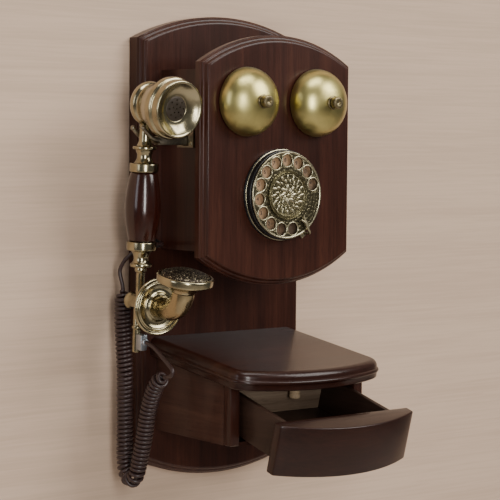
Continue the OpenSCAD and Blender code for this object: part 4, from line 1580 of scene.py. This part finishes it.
@dataclass
class Handset:
    """The handset: a receiver, a wooden handle and a horn with its mouthpiece."""

    origin: Colour = (-115.0, -57.9, -45.4)
    lean: float = 3.0
    ear_rise: float = 39.2
    ear_turn: float = 4.0
    ear_tilt: float = 4.5
    ear_radius: float = 27.0
    handle_radius: float = 16.0
    rosette_drop: float = -136.0
    rosette_front: float = -27.0
    rosette_radius: float = 25.4
    horn_radius: float = 10.0
    horn_bend: float = 20.0
    horn_angle: float = 81.0
    horn_start: float = -31.6
    horn_straight: float = 14.0
    mouth_radius: float = 24.5

    @property
    def upright(self) -> Matrix:
        """From the upright handset to where it hangs."""
        return Matrix.Translation(self.origin) @ Matrix.Rotation(math.radians(self.lean), 4, "X")

    @property
    def ear(self) -> Matrix:
        """From the receiver's own frame, which faces up, to its place."""
        turn = Matrix.Rotation(math.radians(self.ear_turn), 4, "Z")
        tilt = Matrix.Rotation(math.radians(90 + self.ear_tilt), 4, "X")
        return self.upright @ Matrix.Translation((0, 0, self.ear_rise)) @ turn @ tilt

    @property
    def mouth(self) -> Matrix:
        """From the mouthpiece's own frame, which faces up, to its place."""
        bend = math.radians(self.horn_angle)
        y = self.horn_start - self.horn_straight - self.horn_bend * math.sin(bend)
        z = self.rosette_drop + self.horn_bend * (1 - math.cos(bend))
        lean = Matrix.Rotation(math.radians(90 - self.horn_angle), 4, "X")
        return self.upright @ Matrix.Translation((0, y, z)) @ lean

    def receiver(self) -> list[bpy.types.Object]:
        """The bowl, the cap with its dished face, and the pierced disc in the middle."""
        bowl = softened([(0, -6.5), (8, -5.8), (14.5, -3.2), (18.3, 0), (19.8, 3.5), (19, 6.5),
                         (17, 8.5), (17.4, 11), (20, 17), (23, 25), (24.3, 29), (24.3, 31),
                         (22.3, 31), (21, 26), (18, 17.5), (15, 9), (13, 4), (0, 0)], 2.2, 4)
        dish = [(11 + 11.5 * t, 10.4 + 5.2 * t ** 1.9) for t in (i / 8 for i in range(9))]
        cap = softened([(0, 9.4), (10.6, 9.4), *dish, (23.4, 16), (24.4, 15.8), (25.1, 15.0),
                        (25.4, 12), (25.4, 9), (24.6, 8.4), (24.6, 7.6), (26.4, 7),
                        (self.ear_radius, 5.8), (self.ear_radius, 1.5), (26, 0), (22, 0), (22, 8.5),
                        (0, 8.5)], 0.5)
        disc = Shape.turned(softened([(0, 11.2), (6, 11.1), (10.2, 10.6), (10.9, 10.2), (10.9, 9.3),
                                      (0, 9.3)], 0.4), 48)
        pin = Shape.turned([(0, 8), (0.85, 8), (0.85, 13), (0, 13)], 14)
        holes = Shape().plus(pin.copied().moved(7.6, 0, 0).round_axis(8),
                             pin.copied().moved(3.9, 0, 0).round_axis(5, 20), pin)
        disc.less(holes)
        lift = self.ear @ Matrix.Translation((0, 0, 31))
        return [
            make_piece("receiver_bowl", Shape.turned(bowl, 72).placed(self.ear), PALE_BRASS, "handset",
                       ["receiver_body"]),
            make_piece("receiver_cap", Shape.turned(cap, 96).placed(lift), PALE_BRASS, "handset",
                       ["ear_cap"]),
            make_piece("receiver_disc", disc.placed(lift), EAR_DISC, "handset"),
        ]

    def stem(self) -> list[bpy.types.Object]:
        """The turned necks above and below the wooden handle."""
        upper = softened([(0, 24), (5.3, 24), (5.3, 6), (6.5, 3), (7.5, 1.8), (10.4, 1.3), (10.7, 0),
                          (10.4, -1.3), (7.8, -1.6), (7.6, -3.4), (6.3, -6), (6.6, -9), (7.8, -11.6),
                          (9, -13.2), (12.4, -13.4), (12.8, -14.2), (12.8, -20.4), (12.2, -21.1),
                          (0, -21.1)], 0.8)
        r = self.handle_radius
        barrel = softened([(0, -21.1), (11.6, -21.1), (12.6, -25), (13.9, -31), (r - 0.9, -39),
                           (r - 0.2, -46), (r, -52), (r - 0.2, -58), (r - 1, -65), (13.6, -73),
                           (12.2, -79), (11.6, -82.1), (0, -82.1)], 3.0, 4)
        lower = softened([(0, -82.1), (12.6, -82.1), (13.2, -82.8), (13.2, -89.2), (12.6, -89.9),
                          (9.6, -90.2), (8, -92.5), (6.6, -96), (6.8, -99), (8.2, -101.2),
                          (9.6, -101.6), (9.9, -103), (9.6, -104.6), (5, -105), (5.6, -107),
                          (5, -109), (3.9, -109.4), (3.9, -131), (0, -131)], 0.8)
        knob = softened([(0, 0), (4.6, 0.2), (7.4, 1.6), (8.4, 4.2), (7.6, 6.2), (7, 8), (7, 40),
                         (10, 43), (0, 43)], 1.2)
        axle = Shape.turned(knob, 44).placed(Matrix.Translation((0, 16, self.rosette_drop)) @ FACE_FRONT)
        stub = Shape.turned(softened([(0, -45), (3.2, -45), (3.7, -44.4), (3.7, -24.4), (4.6, -23.6),
                                      (4.6, -21.4), (3.7, -20.8), (3.7, -3), (0, -3)], 0.5), 32)
        stub.moved(0, 3, self.rosette_drop)
        rod = Shape.turned(lower, 56).plus(axle, stub)
        return [
            make_piece("upper_neck", Shape.turned(upper, 56).placed(self.upright), PALE_BRASS, "handset",
                       ["neck_upper"]),
            make_piece("turned_handle", Shape.turned(barrel, 72).placed(self.upright), HANDLE_WOOD,
                       "handset", ["handle"]),
            make_piece("lower_neck", rod.placed(self.upright), PALE_BRASS, "handset", ["neck_lower"]),
        ]

    def speaking_end(self) -> list[bpy.types.Object]:
        """The ringed rosette, the bent horn, the mouth cup and its pierced dome."""
        r = self.rosette_radius
        rings = softened([(0, 0), (23, 0), (25, 0.8), (r, 2.2), (r - 0.3, 3.4), (24.2, 4.1),
                          (23.1, 3.5), (22.5, 2.5), (21.7, 2.7), (20.8, 4.0), (19.8, 4.1), (18.8, 2.9),
                          (16, 2.0), (13.4, 2.2), (12.2, 3.4), (11.4, 4.6), (0, 4.6)], 0.5)
        rosette = Shape.turned(rings, 96)
        place = self.upright @ Matrix.Translation((0, self.rosette_front, self.rosette_drop)) @ FACE_FRONT
        bend = [(0, self.horn_start, self.rosette_drop)]
        turn_y = self.horn_start - self.horn_straight
        for i in range(19):
            a = math.radians(self.horn_angle * i / 18)
            bend.append((0, turn_y - self.horn_bend * math.sin(a),
                         self.rosette_drop + self.horn_bend * (1 - math.cos(a))))
        horn = Shape.rod(bend, self.horn_radius, 40)
        m = self.mouth_radius
        cup = softened([(0, 0), (10.4, 0), (11.2, 1.6), (13, 4), (16.5, 6.4), (21.6, 7.6), (23.9, 8.2),
                        (m, 9.4), (m, 13.8), (23.9, 15.1), (22.6, 15.4), (21.7, 15.0), (21.4, 14.2),
                        (21.4, 11), (0, 11)], 0.8)
        dome = softened([(0, 11), (21, 11), (21.3, 14.4), (20.2, 16.2), (16.5, 18), (11, 19.6),
                         (5, 20.6), (0, 20.9)], 0.9)
        grille = Shape.turned(dome, 64)
        pin = Shape.turned([(0, 10.9), (0.75, 10.9), (0.75, 23), (0, 23)], 8)
        circles = ((3.6, 6), (7.2, 12), (10.8, 17), (14.4, 23), (17.8, 28))
        pins = Shape().plus(*[pin.copied().moved(reach, 0, 1).round_axis(count)
                              for reach, count in circles])
        grille.less(pins)
        return [
            make_piece("ringed_rosette", rosette.placed(place), PALE_BRASS, "handset", ["rosette"]),
            make_piece("bent_horn", horn.placed(self.upright), HORN_BRASS, "handset", ["horn"]),
            make_piece("mouth_rim", Shape.turned(cup, 96).placed(self.mouth), PALE_BRASS, "handset",
                       ["mouth_cup"]),
            # The dome's bright flecks are painted glints.
            make_piece("pierced_dome", grille.placed(self.mouth), GLINT_FLECKED_BRASS, "handset",
                       ["mouth_grille"]),
        ]

    def clip(self) -> bpy.types.Object:
        """The folded clip and ferrule that hold the cord."""
        block = Shape.board((-3.4, -9, -178), (3.4, -0.75, -164), 0.8)
        ferrule = Shape.turned(softened([(0, 0), (3.1, 0), (3.2, 0.6), (3.2, 2.5), (2.6, 3), (0, 3)],
                                        0.3), 32)
        turn = Matrix.Rotation(math.radians(90 - self.lean), 4, "X")
        ferrule.placed(Matrix.Translation((0, -9, -170.3)) @ turn)
        return make_piece("cord_ferrule", block.plus(ferrule).placed(self.upright), ZINC, "handset",
                          ["cord_clip"])

    def build(self) -> list[bpy.types.Object]:
        """Makes the whole handset."""
        return [*self.receiver(), *self.stem(), *self.speaking_end(), self.clip()]


@dataclass
class Fittings:
    """The cord's jack with its strain relief, and the CAD nodes that stay as they are."""

    rings: int = 5

    def jack(self) -> bpy.types.Object:
        """The jack's boss and its ribbed, tapered relief."""
        span = Span.of("cord_jack")
        radius, length = span.size.x / 2, span.size.y
        profile = [(0, 0), (radius, 0), (radius, 2.6), (radius - 0.6, 3.2), (3.8, 3.2)]
        pitch = (length - 3.4) / self.rings
        for i in range(self.rings):
            wide = 3.8 - 0.9 * (i + 0.4) / self.rings
            low = 3.4 + i * pitch
            profile += [(wide, low + 0.1 * pitch), (wide, low + 0.6 * pitch),
                        (wide - 0.5, low + 0.7 * pitch), (wide - 0.5, low + 0.95 * pitch)]
        profile += [(2.6, length), (0, length)]
        boss = Shape.turned(softened(profile, 0.25, 2), 36)
        boss.placed(Matrix.Translation((span.centre.x, span.high.y, span.centre.z)) @ FACE_FRONT)
        return make_piece("ribbed_jack", boss, BLACK_PLASTIC, "phone", ["cord_jack"])

    def build(self) -> list[bpy.types.Object]:
        """Makes the jack and dresses every CAD node that is still shown."""
        made = [self.jack()]
        for part in frame["record"]["subparts"]:
            node = part["node"]
            if not frame["nodes"][node].hide_render and node not in DRESSED:
                dress(node, SLOT_FINISHES[part["material_slot"]])
        return made


def main() -> None:
    """Builds the telephone and reports each piece."""
    logging.basicConfig(level=logging.INFO, format="%(name)s: %(message)s")
    parts = [Studio(), Cord(), Woodwork(), Drawer(), Bells(), Dial(), Hook(), Handset(), Fittings()]
    for part in parts:
        for piece in part.build():
            faces = len(piece.data.polygons) if piece.type == "MESH" else 0
            LOG.info("%s: %s, %d faces", type(part).__name__, piece.name, faces)


if __name__ == "__main__":
    main()
